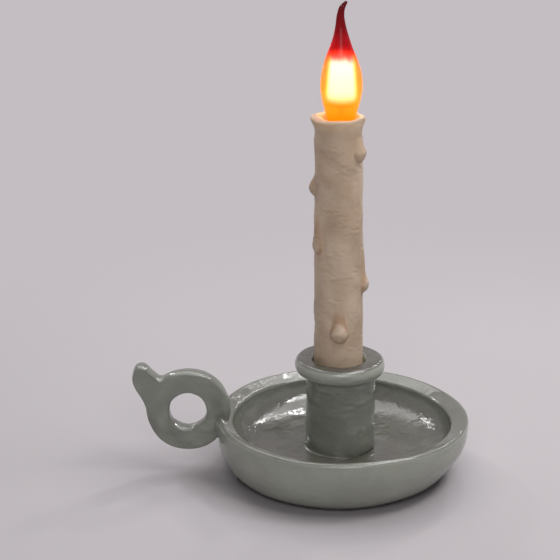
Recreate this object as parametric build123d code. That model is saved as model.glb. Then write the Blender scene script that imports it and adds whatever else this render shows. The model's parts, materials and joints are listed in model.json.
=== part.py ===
from build123d import *
import os
from math import cos, radians, sin, tan

# Battery candle lamp: a glazed chamberstick dish with a finger handle, a candle cup on a short
# column, a hollow drip candle, and a flame-shaped lamp that screws into the top of the candle.
# Millimetres. Z is up, the table is at Z = 0, the lamp's axis is Z, and the handle points to -X.

# Gaps between pieces
GLUE_GAP = 0.1  # round faces that are glued, pressed or screwed together
LOOSE_GAP = 0.3  # faces that pass or lie beside each other
PIN_GAP = 0.06  # a hinge pin in its hole
THREAD_GAP = 0.2  # the lamp cap's thread in the screw shell
TOUCH_GAP = 0.05  # the lamp's centre contact over its tongue

# Dish
FOOT_LIFT = 1.5
FOOT_RADIUS = 72.0
RIM_RADIUS = 103.0
RIM_HEIGHT = 50.0
RIM_WIDTH = 14.5
RIM_ROUND = 3.0
RIM_SLOPE = 22  # fall of the rim towards the bowl, in degrees
SIDE_UPRIGHT = 5.0
FLOOR_TOP = 22.5
FLOOR_THICK = 5.0
FLOOR_FLAT = 58.0
CAVITY_RADIUS = 62.0
LOCATOR_HEIGHT = 4.0
BOSS_CIRCLE = 53.0
BOSS_RADIUS = 4.5
BOSS_ANGLES = (60, 120, 240, 300)

# Foot ring
RING_INNER = 63.7
RING_WIDTH = 5.6
RING_GROOVE = 1.5

# Finger handle and its dowel
HANDLE_OUT = 21.2  # ring centre outside the rim
HANDLE_RISE = 4.5  # ring centre above the rim
HANDLE_RING = 34.5
FINGER_RADIUS = 15.7
HANDLE_THICK = 14.0
HANDLE_ROUND = 2.5
LUG_REACH = 45.5
LUG_HEIGHT = 39.0
LUG_WIDTH = 18.0
LUG_ROOT_ANGLE = 128
DOWEL_RADIUS = 2.0
DOWEL_HALF = 8.0
DOWEL_DROP = 10.0  # below the rim

# Candle cup
COLUMN_RADIUS = 28.5
COLUMN_WALL = 10.0
COLLAR_RADIUS = 36.5
COLLAR_HEIGHT = 12.4
NECK_ROUND = 3.5
CUP_TOP = 100.5
CUP_DEPTH = 30.0
CUP_FLOOR = 6.0
CUP_MOUTH_ROUND = 3.0

# Candle
CANDLE_RADIUS = 19.6
CANDLE_TOP_RADIUS = 18.6
CANDLE_WALL = 3.6  # at the top
CANDLE_LENGTH = 230.5
CANDLE_CLEAR = 1.7  # between the candle and the cup's bore
CANDLE_RIM_ROUND = 1.2
SEAT_FLANGE = 3.0
SEAT_COLLAR = 6.5
SEAT_COLLAR_WALL = 2.6
DRIP_BEAD = 6.5
DRIP_STAND_OUT = 4.0
DRIP_TAIL_TIP = 0.8
# Each drip: angle round the candle, place from the rim (0) to the foot (1), then its bead, its stand-out
# and the tail above the bead as shares of the sizes above (the tail in bead radii)
DRIPS = (
    (184, 0.015, 0.85, 0.95, 0.15),
    (337, 0.126, 1.10, 1.25, 1.40),
    (180, 0.250, 1.00, 1.00, 1.40),
    (202, 0.451, 1.05, 1.05, 2.60),
    (350, 0.599, 0.92, 1.12, 3.40),
    (268, 0.768, 1.15, 0.90, 3.10),
    (96, 0.200, 0.92, 0.90, 2.30),
    (62, 0.529, 0.92, 0.85, 2.80),
    (128, 0.707, 1.00, 0.95, 2.50),
)

# Lamp pipe, its nuts and washers
PIPE_RADIUS = 5.0
PIPE_BORE = 3.6
PIPE_STICK_OUT = 1.0
NUT_FLATS = 16.0
NUT_THICK = 4.0
WASHER_RADIUS = 12.0
WASHER_THICK = 1.5

# Lamp: glass, cap and light
BULB_SINK = 10.0  # cap's top edge below the candle's rim
GLASS_WALL = 1.0
GLASS_SOLID_FROM = 66.0  # the tail is solid above this height
# Each section of the flame: height over the cap, radius, sideways shift, lean of the section
FLAME_SECTIONS = (
    (0.0, 8.2, 0.0, 0),
    (10.0, 11.6, 0.0, 0),
    (21.0, 14.7, 0.0, 0),
    (34.0, 16.6, 0.0, 0),
    (45.0, 15.4, 0.0, 0),
    (55.0, 12.6, -0.4, 0),
    (64.0, 9.1, -0.6, 0),
    (73.0, 6.1, -0.8, -3),
    (82.0, 4.0, -1.2, -3),
    (90.0, 2.9, -1.2, 8),
    (96.0, 2.2, 0.3, 30),
    (99.2, 1.3, 2.6, 48),
)
CAP_LENGTH = 25.0
CAP_FLANGE_RADIUS = 8.8
CAP_FLANGE = 2.5
CAP_SKIRT = 3.5
CAP_CREST = 6.85
CAP_ROOT = 6.2
CAP_BORE = 5.6
THREAD_PITCH = 2.82
THREAD_TURNS = 5
INSULATOR_HEIGHT = 2.4
INSULATOR_TIP = 3.6
CONTACT_HEIGHT = 1.5
CONTACT_RADIUS = 2.4
STEM_RADIUS = 2.2
STEM_FLARE = 4.0
STEM_TOP = 58.0  # over the cap's top edge
FILAMENT_COUNT = 4
FILAMENT_CIRCLE = 5.4
FILAMENT_RADIUS = 1.0
FILAMENT_LOW = 20.0
FILAMENT_LENGTH = 34.0
FILAMENT_WIRE = 0.4

# Lampholder
HOLDER_RADIUS = 12.2
HOLDER_WALL = 1.6
HOLDER_FLOOR = 4.0
HOLDER_WIRING = 11.0
HOLDER_SLEEVE = 22.0
HOLDER_LIP = 1.6
INSERT_THICK = 6.0
SHELL_WALL = 0.45
SHELL_FLANGE = 0.5
SHELL_FLANGE_WIDTH = 1.5
TONGUE_RISE = 1.95
TONGUE_THICK = 0.4
TONGUE_WIDTH = 4.0
TERMINAL_SIZE = 4.0
TERMINAL_CIRCLE = 7.0
SPACER_HEIGHT = 6.0

# Base plate and its screws
PLATE_BOTTOM = 2.0
PLATE_THICK = 3.0
SCREW_SHANK = 1.4
SCREW_HEAD = 2.9
SCREW_HEAD_HEIGHT = 1.5
SCREW_LENGTH = 9.0

# Batteries, three in a row, in an open tray
CELL_COUNT = 3
CELL_RADIUS = 5.2
CELL_LENGTH = 44.5
CELL_NUB_RADIUS = 1.9
CELL_NUB = 0.9
CELL_SPACING = 0.5
SPRING_LENGTH = 4.5
SPRING_RADIUS = 3.2
SPRING_WIRE = 0.3
SPRING_TURNS = 3
CONTACT_THICK = 0.5
CONTACT_SIDE = 8.6
TRAY_NEAR = 14.0  # tray's near side from the lamp's axis
TRAY_WALL = 1.5
TRAY_ROOF = 1.2

# Battery door, hinged on two pins and held by one captive screw
DOOR_THICK = 2.7
PIN_RADIUS = 0.8
PIN_LENGTH = 2.5
TAB_WIDTH = 9.0
TAB_LENGTH = 8.0
LATCH_LUG_HEIGHT = 4.0
DOOR_SCREW_SHANK = 0.9
DOOR_SCREW_HEAD = 2.4
DOOR_SCREW_HEAD_HEIGHT = 1.3
DOOR_SCREW_REACH = 3.0

# Switch
SWITCH_X = -30.0
SWITCH_Y = -21.0
SWITCH_LENGTH = 15.0
SWITCH_WIDTH = 8.0
SWITCH_HEIGHT = 6.0
SWITCH_TRAVEL = 4.0
KNOB_STEM = 3.4
KNOB_HEAD = 5.0
KNOB_HEAD_HEIGHT = 1.6
KNOB_TABLE_GAP = 0.8

# Driver board
BOARD_LEFT = -46.0
BOARD_FRONT = -4.0
BOARD_SIDE = 28.0
BOARD_THICK = 1.6
BOARD_LIFT = 6.0
BOARD_INSET = 2.6
STANDOFF_RADIUS = 2.4
BOARD_SCREW_SHANK = 0.9
BOARD_SCREW_HEAD = 1.9
BOARD_SCREW_HEAD_HEIGHT = 1.2
BOARD_SCREW_REACH = 3.5
COIL_RADIUS = 3.6
COIL_HEIGHT = 3.4
CHIP_LENGTH = 5.0
CHIP_WIDTH = 4.0
CHIP_HEIGHT = 1.5
CAPACITOR_RADIUS = 2.2
CAPACITOR_HEIGHT = 3.8

# Leads
LEAD_RADIUS = 0.7
LEAD_BEND = 2.0
LEAD_SPREAD = 1.3  # each lamp lead from the axis
LEAD_BELOW_BOARD = 3.6
LEAD_END_INSET = 4.0  # a lead's solder joint from the board's edge

# Heights and radii that follow from the sizes above
ceiling = FLOOR_TOP - FLOOR_THICK
plate_top = PLATE_BOTTOM + PLATE_THICK
plate_radius = CAVITY_RADIUS - LOOSE_GAP
column_hollow = COLUMN_RADIUS - COLUMN_WALL
pipe_hole = PIPE_RADIUS + GLUE_GAP
candle_bore = CANDLE_TOP_RADIUS - CANDLE_WALL
cup_bore = CANDLE_RADIUS + CANDLE_CLEAR
cup_floor_top = CUP_TOP - CUP_DEPTH
candle_bottom = cup_floor_top + SEAT_FLANGE
candle_top = candle_bottom + CANDLE_LENGTH
cap_top = candle_top - BULB_SINK
cap_bottom = cap_top - CAP_LENGTH
insert_top = cap_bottom - TOUCH_GAP - TONGUE_RISE
insert_bottom = insert_top - INSERT_THICK
holder_floor_top = insert_bottom - HOLDER_WIRING
holder_bottom = holder_floor_top - HOLDER_FLOOR
pipe_bottom = ceiling - WASHER_THICK - NUT_THICK - PIPE_STICK_OUT
pipe_top = holder_floor_top + PIPE_STICK_OUT
handle_x = -(RIM_RADIUS + HANDLE_OUT)
handle_z = RIM_HEIGHT + HANDLE_RISE
cell_pitch = 2 * CELL_RADIUS + CELL_SPACING
cell_z = plate_top + LOOSE_GAP + CELL_RADIUS
pocket_left = TRAY_NEAR + TRAY_WALL
pocket_width = (CELL_COUNT - 1) * cell_pitch + 2 * (CELL_RADIUS + LOOSE_GAP)
pocket_right = pocket_left + pocket_width
pocket_middle = pocket_left + pocket_width / 2
pocket_half = (CELL_LENGTH + SPRING_LENGTH) / 2 + CONTACT_THICK
tray_roof_bottom = cell_z + CELL_RADIUS + LOOSE_GAP
tray_top = tray_roof_bottom + TRAY_ROOF
hinge_y = -pocket_half + LOOSE_GAP + DOOR_THICK / 2
hinge_z = PLATE_BOTTOM + DOOR_THICK / 2
tab_end = pocket_half + TRAY_WALL + TAB_LENGTH
latch_y = pocket_half + TRAY_WALL + TAB_LENGTH / 2
board_bottom = plate_top + BOARD_LIFT
board_top = board_bottom + BOARD_THICK
board_right = BOARD_LEFT + BOARD_SIDE
board_back = BOARD_FRONT + BOARD_SIDE
lead_run = board_bottom - LEAD_BELOW_BOARD
lead_turn = pipe_top + LEAD_BEND
terminal_bottom = insert_bottom - TERMINAL_SIZE


def turned(*lines):
    """Revolve an outline of (radius, height) lines about the lamp's axis."""
    edges = [edge for line in lines for edge in line.edges()]
    return revolve(Plane.XZ * make_face(edges), Axis.Z)


def tube(outer, inner, low, high):
    """Upright tube on the lamp's axis."""
    return Pos(0, 0, low) * extrude(Circle(outer) - Circle(inner), high - low)


def rod(radius, low, high, x=0.0, y=0.0):
    """Upright rod."""
    return Pos(x, y, low) * extrude(Circle(radius), high - low)


def block(left, right, front, back, low, high):
    """Box between six planes."""
    middle = Pos((left + right) / 2, (front + back) / 2, (low + high) / 2)
    return middle * Box(right - left, back - front, high - low)


def ring_of(piece, angles):
    """Copies of a piece turned about the lamp's axis, as separate solids."""
    return Compound(children=[Rot(0, 0, angle) * piece for angle in angles])


def swept_lead(*points):
    """Insulated wire along straight runs with round bends."""
    path = FilletPolyline(*points, radius=LEAD_BEND)
    section = Plane(origin=path @ 0, z_dir=path % 0) * Circle(LEAD_RADIUS)
    return sweep(section, path=path)


def rim_edge():
    """Centre of the round at the bowl's edge, below the end of the rim's slope."""
    inner = RIM_RADIUS - RIM_WIDTH + RIM_ROUND
    fall = (RIM_RADIUS - RIM_ROUND - inner) * tan(radians(RIM_SLOPE))
    return inner, RIM_HEIGHT - RIM_ROUND - fall


def rim_slope(grow):
    """Both ends of the rim's slope, lifted by a gap: at the outer edge and at the bowl's edge."""
    slope = radians(RIM_SLOPE)
    reach = RIM_ROUND + grow
    inner, edge = rim_edge()
    across = -reach * sin(slope)
    up = reach * cos(slope)
    return (RIM_RADIUS - RIM_ROUND + across, RIM_HEIGHT - RIM_ROUND + up), (inner + across, edge + up)


def dish_side(grow):
    """Outer side and rim of the dish, grown by a gap, from the foot up to the rim's inner edge."""
    low = FOOT_LIFT - grow
    foot = FOOT_RADIUS
    outer = RIM_RADIUS + grow
    rim_low = RIM_HEIGHT - RIM_ROUND
    side_low = rim_low - SIDE_UPRIGHT
    return (
        EllipticalCenterArc((foot, side_low), outer - foot, side_low - low, start_angle=270, arc_size=90),
        Line((outer, side_low), (outer, rim_low)),
        CenterArc((RIM_RADIUS - RIM_ROUND, rim_low), RIM_ROUND + grow, 0, 90 + RIM_SLOPE),
        Line(*rim_slope(grow)),
    )


def dish_block():
    """The dish's outside as a full block, one glue gap larger, which trims what is glued to the rim."""
    low = FOOT_LIFT - GLUE_GAP
    inner, top = rim_slope(GLUE_GAP)[1]
    closing = Polyline((inner, top), (0, top), (0, low), (FOOT_RADIUS, low))
    return turned(*dish_side(GLUE_GAP), closing)


def dowel_hole():
    """Hole for the dowel, across the joint between the dish's side and the handle."""
    length = 2 * (DOWEL_HALF + LOOSE_GAP)
    place = Pos(-RIM_RADIUS, 0, RIM_HEIGHT - DOWEL_DROP) * Rot(0, 90, 0)
    return place * Cylinder(DOWEL_RADIUS + GLUE_GAP, length)


def dish():
    """Saucer with a rolled rim, a hollow underside, four screw bosses and a groove for the foot ring."""
    inner = RIM_RADIUS - RIM_WIDTH
    bowl_top = rim_edge()[1]
    locator = column_hollow - GLUE_GAP
    body = turned(
        Line((CAVITY_RADIUS, FOOT_LIFT), (FOOT_RADIUS, FOOT_LIFT)),
        *dish_side(0),
        CenterArc(rim_edge(), RIM_ROUND, 90 + RIM_SLOPE, 90 - RIM_SLOPE),
        EllipticalCenterArc(
            (FLOOR_FLAT, bowl_top), inner - FLOOR_FLAT, bowl_top - FLOOR_TOP, start_angle=0, arc_size=-90
        ),
        Polyline(
            (FLOOR_FLAT, FLOOR_TOP),
            (locator, FLOOR_TOP),
            (locator, FLOOR_TOP + LOCATOR_HEIGHT),
            (pipe_hole, FLOOR_TOP + LOCATOR_HEIGHT),
            (pipe_hole, ceiling),
            (CAVITY_RADIUS, ceiling),
            (CAVITY_RADIUS, FOOT_LIFT),
        ),
    )
    boss = rod(BOSS_RADIUS, plate_top, ceiling, BOSS_CIRCLE)
    pilot = rod(SCREW_SHANK + GLUE_GAP, plate_top, ceiling, BOSS_CIRCLE)
    for angle in BOSS_ANGLES:
        body += Rot(0, 0, angle) * boss
    for angle in BOSS_ANGLES:
        body -= Rot(0, 0, angle) * pilot
    groove_inner = RING_INNER - LOOSE_GAP
    groove_outer = RING_INNER + RING_WIDTH + LOOSE_GAP
    body -= tube(groove_outer, groove_inner, FOOT_LIFT, FOOT_LIFT + RING_GROOVE)
    return body - dowel_hole()


def foot_ring():
    """Rubber ring in the groove under the dish, which stands on the table."""
    return tube(RING_INNER + RING_WIDTH, RING_INNER, 0, FOOT_LIFT + RING_GROOVE)


def finger_handle():
    """Flat ring with a thumb lug, rounded at its edges and glued to the dish's rim."""
    root = radians(LUG_ROOT_ANGLE)
    root_point = (HANDLE_RING * cos(root), HANDLE_RING * sin(root))
    shoulder = LUG_HEIGHT - LUG_WIDTH / 2
    lug_edge = Spline(
        (-HANDLE_RING, 0),
        (-LUG_REACH, shoulder),
        (-LUG_REACH + 0.2 * LUG_WIDTH, LUG_HEIGHT - 0.08 * LUG_WIDTH),
        (-LUG_REACH + 0.6 * LUG_WIDTH, LUG_HEIGHT - 0.05 * LUG_WIDTH),
        (-LUG_REACH + LUG_WIDTH, shoulder),
        root_point,
        tangents=((0, 1), (1, -0.3)),
    )
    lug = make_face([lug_edge, Line(root_point, (-HANDLE_RING, 0))])
    face = Circle(HANDLE_RING) + lug - Circle(FINGER_RADIUS)
    slab = extrude(Plane.XZ * face, HANDLE_THICK / 2, both=True)
    flat_faces = slab.faces().filter_by(Axis.Y)
    slab = fillet(flat_faces.edges(), HANDLE_ROUND)
    return Pos(handle_x, 0, handle_z) * slab - dish_block() - dowel_hole()


def handle_dowel():
    """Steel pin that carries the handle on the dish."""
    place = Pos(-RIM_RADIUS, 0, RIM_HEIGHT - DOWEL_DROP) * Rot(0, 90, 0)
    return place * Cylinder(DOWEL_RADIUS, 2 * DOWEL_HALF)


def candle_cup():
    """Hollow column on the dish's floor, with a rolled collar round the candle's socket."""
    lip_foot = CUP_TOP - COLLAR_HEIGHT
    lip_middle = CUP_TOP - COLLAR_HEIGHT / 2
    lip_root = COLUMN_RADIUS + NECK_ROUND
    mouth = CUP_TOP - CUP_MOUTH_ROUND
    web = cup_floor_top - CUP_FLOOR
    return turned(
        Line((COLUMN_RADIUS, FLOOR_TOP), (COLUMN_RADIUS, lip_foot - NECK_ROUND)),
        CenterArc((lip_root, lip_foot - NECK_ROUND), NECK_ROUND, 180, -90),
        EllipticalCenterArc(
            (lip_root, lip_middle), COLLAR_RADIUS - lip_root, COLLAR_HEIGHT / 2, start_angle=-90, arc_size=180
        ),
        Line((lip_root, CUP_TOP), (cup_bore + CUP_MOUTH_ROUND, CUP_TOP)),
        CenterArc((cup_bore + CUP_MOUTH_ROUND, mouth), CUP_MOUTH_ROUND, 90, 90),
        Polyline(
            (cup_bore, mouth),
            (cup_bore, cup_floor_top),
            (pipe_hole, cup_floor_top),
            (pipe_hole, web),
            (column_hollow, web),
            (column_hollow, FLOOR_TOP),
            (COLUMN_RADIUS, FLOOR_TOP),
        ),
    )


def sleeve_seat():
    """Ring on the cup's floor that carries and centres the candle, held by the upper nut."""
    collar = candle_bore - LOOSE_GAP
    flange = tube(cup_bore - LOOSE_GAP, pipe_hole, cup_floor_top, candle_bottom)
    return flange + tube(collar, collar - SEAT_COLLAR_WALL, candle_bottom, candle_bottom + SEAT_COLLAR)


def drip(angle, place_down, bead_share, stand_share, tail_share):
    """Run of wax: a round bead that stands out of the candle, with a tapering tail above it."""
    bead = DRIP_BEAD * bead_share
    side = CANDLE_TOP_RADIUS + (CANDLE_RADIUS - CANDLE_TOP_RADIUS) * place_down
    out = side + DRIP_STAND_OUT * stand_share - bead
    place = Rot(0, 0, angle) * Pos(out, 0, candle_top - CANDLE_LENGTH * place_down)
    on_base = (Align.CENTER, Align.CENTER, Align.MIN)
    tail = Cone(bead, DRIP_TAIL_TIP, DRIP_BEAD * tail_share, align=on_base)
    return place * (Sphere(bead) + tail)


def candle_sleeve():
    """Hollow tapered candle with a rounded rim and runs of wax down its side."""
    on_base = (Align.CENTER, Align.CENTER, Align.MIN)
    body = Pos(0, 0, candle_bottom) * Cone(CANDLE_RADIUS, CANDLE_TOP_RADIUS, CANDLE_LENGTH, align=on_base)
    body = fillet(body.edges().group_by(Axis.Z)[-1], CANDLE_RIM_ROUND)
    for sizes in DRIPS:
        body += drip(*sizes)
    headroom = 2 * DRIP_BEAD
    return body - rod(candle_bore, candle_bottom, candle_top + headroom)


def lamp_pipe():
    """Threaded pipe from under the dish up to the lampholder, which clamps the stack and carries the leads."""
    return tube(PIPE_RADIUS, PIPE_BORE, pipe_bottom, pipe_top)


def pipe_nuts():
    """Nuts under the dish, on the candle's seat and under the lampholder."""
    section = RegularPolygon(NUT_FLATS / 2, 6, major_radius=False) - Circle(pipe_hole)
    nut = extrude(section, NUT_THICK)
    lows = (
        ceiling - WASHER_THICK - NUT_THICK,
        candle_bottom + WASHER_THICK,
        holder_bottom - NUT_THICK,
    )
    return Compound(children=[Pos(0, 0, low) * nut for low in lows])


def pipe_washers():
    """Washers under the dish and on the candle's seat."""
    lows = (ceiling - WASHER_THICK, candle_bottom)
    return Compound(children=[tube(WASHER_RADIUS, pipe_hole, low, low + WASHER_THICK) for low in lows])


def holder_base():
    """Cup of the lampholder, screwed on the pipe's top end."""
    cup = rod(HOLDER_RADIUS, holder_bottom, insert_bottom)
    cup -= rod(HOLDER_RADIUS - HOLDER_WALL, holder_floor_top, insert_bottom)
    return cup - rod(pipe_hole, holder_bottom, holder_floor_top)


def holder_insert():
    """Ceramic disc that carries the screw shell, the tongue and the terminals."""
    return rod(HOLDER_RADIUS, insert_bottom, insert_top)


def holder_sleeve():
    """Outer tube of the lampholder with a lip round its mouth."""
    top = insert_top + HOLDER_SLEEVE
    mouth = CAP_CREST + THREAD_GAP + SHELL_WALL + LOOSE_GAP
    body = tube(HOLDER_RADIUS, HOLDER_RADIUS - HOLDER_WALL, insert_top, top)
    return body + tube(HOLDER_RADIUS, mouth, top - HOLDER_LIP, top)


def screw_shell():
    """Brass shell that takes the lamp's thread."""
    bore = CAP_CREST + THREAD_GAP
    outer = bore + SHELL_WALL
    top = insert_top + HOLDER_SLEEVE - HOLDER_LIP - LOOSE_GAP
    flange = tube(outer + SHELL_FLANGE_WIDTH, bore, insert_top, insert_top + SHELL_FLANGE)
    return flange + tube(outer, bore, insert_top, top)


def contact_tongue():
    """Bent strip under the lamp's centre contact."""
    top = insert_top + TONGUE_RISE
    foot_end = -CAP_CREST + LOOSE_GAP
    bend = -CONTACT_RADIUS - TONGUE_RISE
    outline = Polyline(
        (foot_end, insert_top),
        (bend, insert_top),
        (-CONTACT_RADIUS, top - TONGUE_THICK),
        (CONTACT_RADIUS, top - TONGUE_THICK),
        (CONTACT_RADIUS, top),
        (-CONTACT_RADIUS, top),
        (bend, insert_top + TONGUE_THICK),
        (foot_end, insert_top + TONGUE_THICK),
        close=True,
    )
    return extrude(Plane.XZ * make_face(outline.edges()), TONGUE_WIDTH / 2, both=True)


def holder_terminals():
    """Two terminal blocks under the insert."""
    half = TERMINAL_SIZE / 2
    back = block(-half, half, TERMINAL_CIRCLE - half, TERMINAL_CIRCLE + half, terminal_bottom, insert_bottom)
    return ring_of(back, (0, 180))


def sleeve_spacer():
    """Ring on the lampholder that centres the candle's upper end."""
    return tube(candle_bore - LOOSE_GAP, HOLDER_RADIUS + GLUE_GAP, holder_bottom, holder_bottom + SPACER_HEIGHT)


def flame(sections, thinner):
    """Flame form through round sections: (height over the cap, radius, sideways shift, lean)."""
    faces = []
    for height, radius, shift, lean in sections:
        place = Pos(shift, 0, cap_top + height) * Rot(0, lean, 0)
        faces.append(place * Circle(radius - thinner))
    return loft(faces)


def bulb_glass():
    """Thin glass flame, open at its neck, with a solid bent tail."""
    hollow = [section for section in FLAME_SECTIONS if section[0] < GLASS_SOLID_FROM]
    return flame(FLAME_SECTIONS, 0) - flame(hollow, GLASS_WALL)


def bulb_cap():
    """Screw cap: flange, skirt and thread ridges over a thin shell."""
    thread_top = cap_top - CAP_FLANGE - CAP_SKIRT
    shell_bottom = cap_bottom + CONTACT_HEIGHT + INSULATOR_HEIGHT
    cap = rod(CAP_FLANGE_RADIUS, cap_top - CAP_FLANGE, cap_top)
    cap += rod(CAP_CREST, thread_top, cap_top - CAP_FLANGE)
    cap += rod(CAP_ROOT, shell_bottom, thread_top)
    ridge = turned(
        Polyline(
            (CAP_BORE, -THREAD_PITCH / 2),
            (CAP_ROOT, -THREAD_PITCH / 2),
            (CAP_CREST, -THREAD_PITCH / 8),
            (CAP_CREST, THREAD_PITCH / 8),
            (CAP_ROOT, THREAD_PITCH / 2),
            (CAP_BORE, THREAD_PITCH / 2),
            close=True,
        )
    )
    for turn in range(THREAD_TURNS):
        cap += Pos(0, 0, thread_top - (turn + 0.5) * THREAD_PITCH) * ridge
    return cap - rod(CAP_BORE, shell_bottom, cap_top)


def cap_insulator():
    """Glass cone between the cap's shell and its centre contact."""
    low = cap_bottom + CONTACT_HEIGHT
    on_base = (Align.CENTER, Align.CENTER, Align.MIN)
    return Pos(0, 0, low) * Cone(INSULATOR_TIP, CAP_ROOT, INSULATOR_HEIGHT, align=on_base)


def cap_contact():
    """Centre contact under the cap."""
    return rod(CONTACT_RADIUS, cap_bottom, cap_bottom + CONTACT_HEIGHT)


def bulb_stem():
    """Glass post inside the lamp, flared where it is sealed in the cap."""
    flare = rod(CAP_BORE - GLUE_GAP, cap_top - STEM_FLARE, cap_top)
    return flare + rod(STEM_RADIUS, cap_top, cap_top + STEM_TOP)


def filament_angles():
    """Angles of the light strips round the stem."""
    return [index * 360 / FILAMENT_COUNT + 180 / FILAMENT_COUNT for index in range(FILAMENT_COUNT)]


def bulb_filaments():
    """Upright light strips in a circle round the stem."""
    low = cap_top + FILAMENT_LOW
    strip = rod(FILAMENT_RADIUS, low, low + FILAMENT_LENGTH, FILAMENT_CIRCLE)
    return ring_of(strip, filament_angles())


def filament_wires():
    """Spokes from the stem to both ends of each light strip."""
    start = STEM_RADIUS + TOUCH_GAP
    low = cap_top + FILAMENT_LOW - FILAMENT_WIRE
    high = cap_top + FILAMENT_LOW + FILAMENT_LENGTH + FILAMENT_WIRE
    spoke = Rot(0, 90, 0) * extrude(Circle(FILAMENT_WIRE), FILAMENT_CIRCLE + FILAMENT_WIRE - start)
    spokes = [
        Rot(0, 0, angle) * Pos(start, 0, height) * spoke for angle in filament_angles() for height in (low, high)
    ]
    return Compound(children=spokes)


def standoff_places():
    """Three corners of the board that stand on the base plate."""
    left = BOARD_LEFT + BOARD_INSET
    right = board_right - BOARD_INSET
    front = BOARD_FRONT + BOARD_INSET
    back = board_back - BOARD_INSET
    return ((left, front), (left, back), (right, back))


def base_plate():
    """Cover under the dish, with the battery opening, the switch slot and the board's standoffs."""
    plate = rod(plate_radius, PLATE_BOTTOM, plate_top)
    shank = rod(SCREW_SHANK + LOOSE_GAP, PLATE_BOTTOM, plate_top, BOSS_CIRCLE)
    head = rod(SCREW_HEAD + LOOSE_GAP, PLATE_BOTTOM, PLATE_BOTTOM + SCREW_HEAD_HEIGHT, BOSS_CIRCLE)
    for angle in BOSS_ANGLES:
        plate -= Rot(0, 0, angle) * (shank + head)
    plate -= block(pocket_left, pocket_right, -pocket_half, pocket_half, PLATE_BOTTOM, plate_top)
    tab_half = TAB_WIDTH / 2 + LOOSE_GAP
    tab_left = pocket_middle - tab_half
    tab_right = pocket_middle + tab_half
    plate -= block(tab_left, tab_right, pocket_half, tab_end + LOOSE_GAP, PLATE_BOTTOM, plate_top)
    pin_span = pocket_width + 2 * (PIN_LENGTH + LOOSE_GAP)
    plate -= Pos(pocket_middle, hinge_y, hinge_z) * Rot(0, 90, 0) * Cylinder(PIN_RADIUS + PIN_GAP, pin_span)
    slot_half = (KNOB_STEM + SWITCH_TRAVEL) / 2 + LOOSE_GAP
    stem_half = KNOB_STEM / 2 + LOOSE_GAP
    slot_left = SWITCH_X - slot_half
    slot_right = SWITCH_X + slot_half
    plate -= block(
        slot_left, slot_right, SWITCH_Y - stem_half, SWITCH_Y + stem_half, PLATE_BOTTOM, plate_top
    )
    for x, y in standoff_places():
        plate += rod(STANDOFF_RADIUS, plate_top, board_bottom, x, y)
        plate -= rod(BOARD_SCREW_SHANK + GLUE_GAP, plate_top, board_bottom, x, y)
    return plate


def base_screws():
    """Four screws from the base plate into the dish's bosses."""
    head = rod(SCREW_HEAD, PLATE_BOTTOM, PLATE_BOTTOM + SCREW_HEAD_HEIGHT, BOSS_CIRCLE)
    shank = rod(SCREW_SHANK, PLATE_BOTTOM, PLATE_BOTTOM + SCREW_LENGTH, BOSS_CIRCLE)
    return ring_of(head + shank, BOSS_ANGLES)


def battery_tray():
    """Open box on the base plate round the cells, with a lug for the door's screw."""
    left = pocket_left - TRAY_WALL
    right = pocket_right + TRAY_WALL
    end = pocket_half + TRAY_WALL
    tray = block(left, right, -end, end, plate_top, tray_top)
    tray -= block(pocket_left, pocket_right, -pocket_half, pocket_half, plate_top, tray_roof_bottom)
    lug_left = pocket_middle - TAB_WIDTH / 2 - TRAY_WALL
    lug_right = pocket_middle + TAB_WIDTH / 2 + TRAY_WALL
    lug_end = tab_end + TRAY_WALL
    tray += block(lug_left, lug_right, end, lug_end, plate_top, plate_top + LATCH_LUG_HEIGHT)
    hole = DOOR_SCREW_SHANK + LOOSE_GAP
    return tray - rod(hole, plate_top, plate_top + LATCH_LUG_HEIGHT, pocket_middle, latch_y)


def cell_places():
    """Each cell's place across the tray and the way its plus end points."""
    first = pocket_left + LOOSE_GAP + CELL_RADIUS
    return [(first + index * cell_pitch, 1 if index % 2 == 0 else -1) for index in range(CELL_COUNT)]


def lying(x, y, way):
    """Place a piece that was made along +Z so that it lies along Y, pointing the given way."""
    return Pos(x, y, cell_z) * Rot(-90 * way, 0, 0)


def battery_cells():
    """Three cells side by side, every second one turned round."""
    body = rod(CELL_RADIUS, 0, CELL_LENGTH - CELL_NUB)
    cell = body + rod(CELL_NUB_RADIUS, CELL_LENGTH - CELL_NUB, CELL_LENGTH)
    start = pocket_half - CONTACT_THICK - CELL_LENGTH
    return Compound(children=[lying(x, start * way, way) * cell for x, way in cell_places()])


def cell_springs():
    """Wire springs that press each cell's flat end."""
    height = SPRING_LENGTH - 2 * SPRING_WIRE
    path = Helix(height / SPRING_TURNS, height, SPRING_RADIUS, center=(0, 0, SPRING_WIRE))
    spring = sweep(Plane(origin=path @ 0, z_dir=path % 0) * Circle(SPRING_WIRE), path=path, is_frenet=True)
    start = CONTACT_THICK - pocket_half
    return Compound(children=[lying(x, start * way, way) * spring for x, way in cell_places()])


def cell_contacts():
    """Sprung and plain contact plates at both ends of the tray; the inner ones link two cells."""
    half = CONTACT_SIDE / 2
    plates = []
    for end in (-1, 1):
        places = [x for x, _ in cell_places()]
        linked = places[:2] if end < 0 else places[1:]
        single = [x for x in places if x not in linked]
        spans = [(min(linked) - half, max(linked) + half)] + [(x - half, x + half) for x in single]
        outer = end * pocket_half
        inner = end * (pocket_half - CONTACT_THICK)
        for left, right in spans:
            plates.append(block(left, right, min(outer, inner), max(outer, inner), cell_z - half, cell_z + half))
    return Compound(children=plates)


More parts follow.
